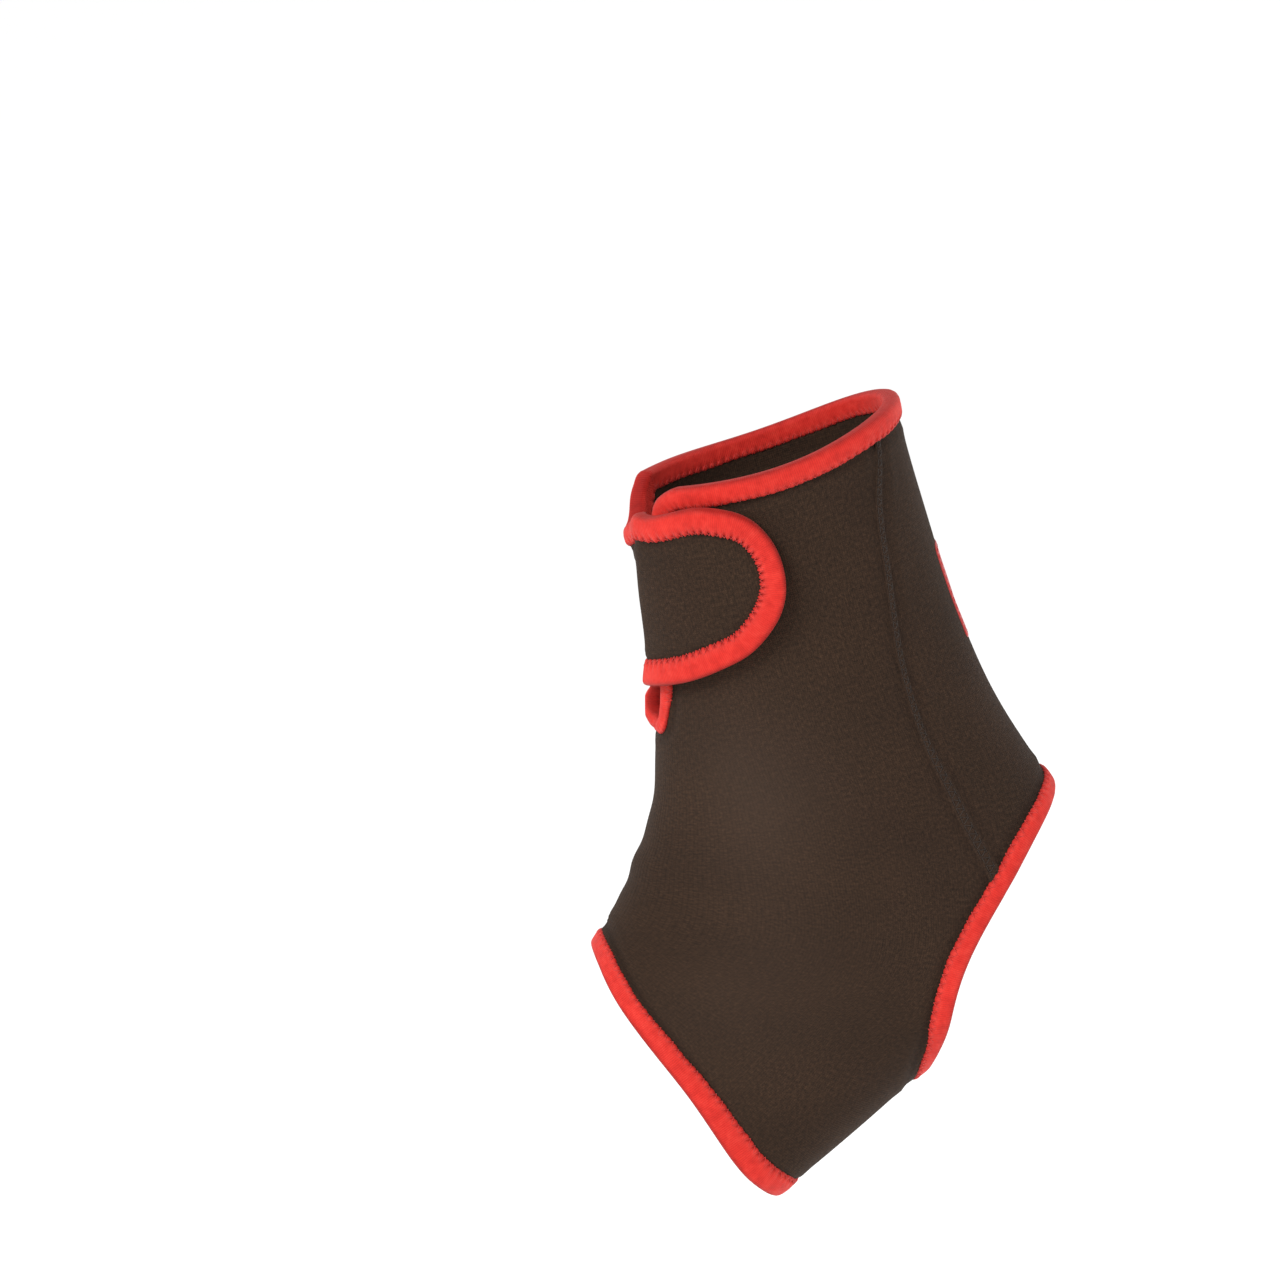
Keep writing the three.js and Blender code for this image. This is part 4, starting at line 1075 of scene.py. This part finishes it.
# ---------------------------------------------------------------------- label
def label_piece():
    """Blank sewn patch: rounded corners, a rolled edge and a line of stitches."""
    mid_s = (LABEL["first"] + LABEL["last"]) / 2
    tall = (LABEL["last"] - LABEL["first"]) * 21.6          # real height on the back
    half_s = (LABEL["last"] - LABEL["first"]) / 2
    half_a = math.degrees(math.asin(LABEL["across"] / 2 / 43.0))
    ns, na = 46, 34
    x = np.linspace(-1, 1, na)
    y = np.linspace(-1, 1, ns)
    X, Y = np.meshgrid(x, y)
    hw, hh, r = LABEL["across"] / 2, tall / 2, 2.2
    # rounded rectangle: pull the corners in
    px, py = X * hw, Y * hh
    qx, qy = np.abs(px) - (hw - r), np.abs(py) - (hh - r)
    over = (qx > 0) & (qy > 0)
    length = np.hypot(np.maximum(qx, 0), np.maximum(qy, 0))
    big = np.maximum(qx, qy)
    scale = np.where(over & (length > 1e-9), big / np.maximum(length, 1e-9), 1.0)
    px = np.where(over, np.sign(px) * (hw - r + qx * scale), px)
    py = np.where(over, np.sign(py) * (hh - r + qy * scale), py)
    s = mid_s + py / hh * half_s
    a = 180 + px / hw * half_a
    edge = np.minimum(hw - np.abs(px), hh - np.abs(py))
    edge = np.minimum(edge, np.where(over, r - np.hypot(np.maximum(np.abs(px) - (hw - r), 0), np.maximum(np.abs(py) - (hh - r), 0)), edge))
    edge = np.maximum(edge, 0)
    s, a, e = s.ravel(), a.ravel(), edge.ravel()
    rel = relief(s, a, np.full(len(s), 50.0))
    top = rel + LABEL["thick"] * smooth(e / 0.5 + 0.35) - 0.16 * np.exp(-((e - 1.5) / 0.45) ** 2)
    top = top + 0.06 * np.sin(py.ravel() / 2.3) * np.sin(px.ravel() / 3.1)
    top_p = skin(s, a) + outward(s, a) * top[:, None]
    low_p = skin(s, a) + outward(s, a) * (rel - 0.15)[:, None]
    n = len(s)
    faces = []
    ids = np.arange(n).reshape(ns, na)
    for i in range(ns - 1):
        for k in range(na - 1):
            faces.append((ids[i, k], ids[i + 1, k], ids[i + 1, k + 1], ids[i, k + 1]))
            faces.append((n + ids[i, k + 1], n + ids[i + 1, k + 1], n + ids[i + 1, k], n + ids[i, k]))
    ring = list(ids[:, 0]) + list(ids[-1, 1:]) + list(ids[-2::-1, -1]) + list(ids[0, -2:0:-1])
    for k, i in enumerate(ring):
        j = ring[(k + 1) % len(ring)]
        faces.append((j, i, n + i, n + j))
    pts = np.concatenate([top_p, low_p])
    mm = np.stack([px.ravel(), py.ravel()], -1)
    patch = make("back_patch", pts, outside_in(pts, faces), SATIN, {"flat_mm": two(mm)}, "back_label")
    # running stitches 1.5 mm inside the edge
    w, h, rr = hw - 1.5, hh - 1.5, 1.3
    path = []
    for cx, cy, a0 in ((w - rr, h - rr, 0), (-(w - rr), h - rr, 90), (-(w - rr), -(h - rr), 180), (w - rr, -(h - rr), 270)):
        for d in range(0, 91, 15):
            path.append((cx + rr * math.cos(math.radians(a0 + d)), cy + rr * math.sin(math.radians(a0 + d))))
    path = np.array(path + path[:1])
    run = np.append(0, np.cumsum(np.linalg.norm(np.diff(path, axis=0), axis=1)))
    count = int(run[-1] / 2.2)
    lines = []
    for k in range(count):
        q = (k + np.array([0.08, 0.22, 0.45, 0.68, 0.82])) * run[-1] / count
        x, y = np.interp(q, run, path[:, 0]), np.interp(q, run, path[:, 1])
        ls, la = mid_s + y / hh * half_s, 180 + x / hw * half_a
        rel = relief(ls, la, np.full(len(ls), 50.0))
        high = rel + LABEL["thick"] - 0.16 + np.array([-0.12, 0.1, 0.14, 0.1, -0.12])
        lines.append(skin(ls, la) + outward(ls, la) * high[:, None])
    return [patch, tubes("back_patch_stitches", lines, 0.14, RED_THREAD, 5)]


pieces += label_piece()

# ------------------------------------------------------- floor, light, camera
def floor_piece():
    """A wide pale studio floor, well below the brace."""
    r = np.concatenate([[0.0], np.geomspace(0.2, 90.0, 30)])
    n = 64
    pts = [(0.0, 0.0, -450.0)]
    for q in r[1:]:
        for k in range(n):
            an = 2 * math.pi * k / n
            pts.append((1000 * q * math.cos(an), 1000 * q * math.sin(an), -450.0))
    faces = [(0, 1 + k, 1 + (k + 1) % n) for k in range(n)]
    for i in range(len(r) - 2):
        for k in range(n):
            l = (k + 1) % n
            faces.append((1 + i * n + k, 1 + (i + 1) * n + k, 1 + (i + 1) * n + l, 1 + i * n + l))
    mat = Nodes("studio_floor")
    mat.set(Base_Color=(0.95, 0.95, 0.948), Roughness=0.95, Specular_IOR_Level=0.1,
            Emission_Color=(1.0, 1.0, 1.0), Emission_Strength=0.07)
    me = bpy.data.meshes.new("studio_floor")
    me.from_pydata((np.array(pts) / 1000).tolist(), [], faces)
    me.materials.append(mat.mat)
    ob = bpy.data.objects.new("studio_floor", me)
    bpy.context.scene.collection.objects.link(ob)


floor_piece()

world = bpy.data.worlds.new("studio")
world.use_nodes = True
world.node_tree.nodes["Background"].inputs["Color"].default_value = (1.0, 1.0, 1.0, 1)
world.node_tree.nodes["Background"].inputs["Strength"].default_value = 0.50
scene = bpy.context.scene
scene.world = world
scene.view_settings.view_transform = "Standard"
scene.view_settings.look = "None"


def soft_light(name, at, target, size, watts, tint=(1, 1, 1)):
    light = bpy.data.lights.new(name, "AREA")
    light.shape = "RECTANGLE"
    light.size, light.size_y = size
    light.energy = watts
    light.color = tint
    ob = bpy.data.objects.new(name, light)
    ob.location = at
    d = np.array(target) - np.array(at)
    back = -d / np.linalg.norm(d)
    right = np.cross((0, 0, 1), back)
    right /= np.linalg.norm(right)
    up = np.cross(back, right)
    ob.rotation_euler = Matrix(np.stack([right, up, back], 1).tolist()).to_euler()
    bpy.context.scene.collection.objects.link(ob)


sun = bpy.data.lights.new("sun", "SUN")
sun.energy = 2.0
sun.angle = math.radians(30)
sun_ob = bpy.data.objects.new("sun", sun)
sun_ob.rotation_euler = Vector((0.72, -0.52, 1.12)).to_track_quat("Z", "Y").to_euler()
scene.collection.objects.link(sun_ob)
soft_light("key", (1.3, -0.9, 1.2), (0, 0, 0.02), (1.1, 1.1), 4.0)
soft_light("fill", (1.0, 1.3, 0.5), (0, 0, 0.02), (1.2, 1.2), 2.0)
soft_light("back_left", (-1.2, -0.8, 0.9), (0, 0, 0.02), (1.2, 1.2), 6.0)
soft_light("back_right", (-0.7, 1.4, 0.7), (0, 0, 0.02), (1.2, 1.2), 5.0)

# The camera looks from the outer side, a little from above, and leans as the
# photograph's frame does.
LEAN, ABOVE, AWAY, PIXEL = math.radians(23.0), math.radians(12.0), 1400.0, 0.30
right = np.array([0, 1.0, 0])
up = np.array([-math.sin(ABOVE), 0, math.cos(ABOVE)])
back = np.array([math.cos(ABOVE), 0, math.sin(ABOVE)])
rr = math.cos(LEAN) * right - math.sin(LEAN) * up
uu = math.sin(LEAN) * right + math.cos(LEAN) * up
centre = (640 - 870) * PIXEL * rr - (640 - 847) * PIXEL * uu
spot = (centre + AWAY * back) / 1000
cam = bpy.data.cameras.new("camera")
cam.sensor_width = 36.0
cam.lens = 36.0 * AWAY / (1280 * PIXEL)
cam.clip_end = 200
cam_ob = bpy.data.objects.new("camera", cam)
cam_ob.matrix_world = Matrix([[rr[0], uu[0], back[0], spot[0]], [rr[1], uu[1], back[1], spot[1]],
                              [rr[2], uu[2], back[2], spot[2]], [0, 0, 0, 1]])
scene.collection.objects.link(cam_ob)
scene.camera = cam_ob
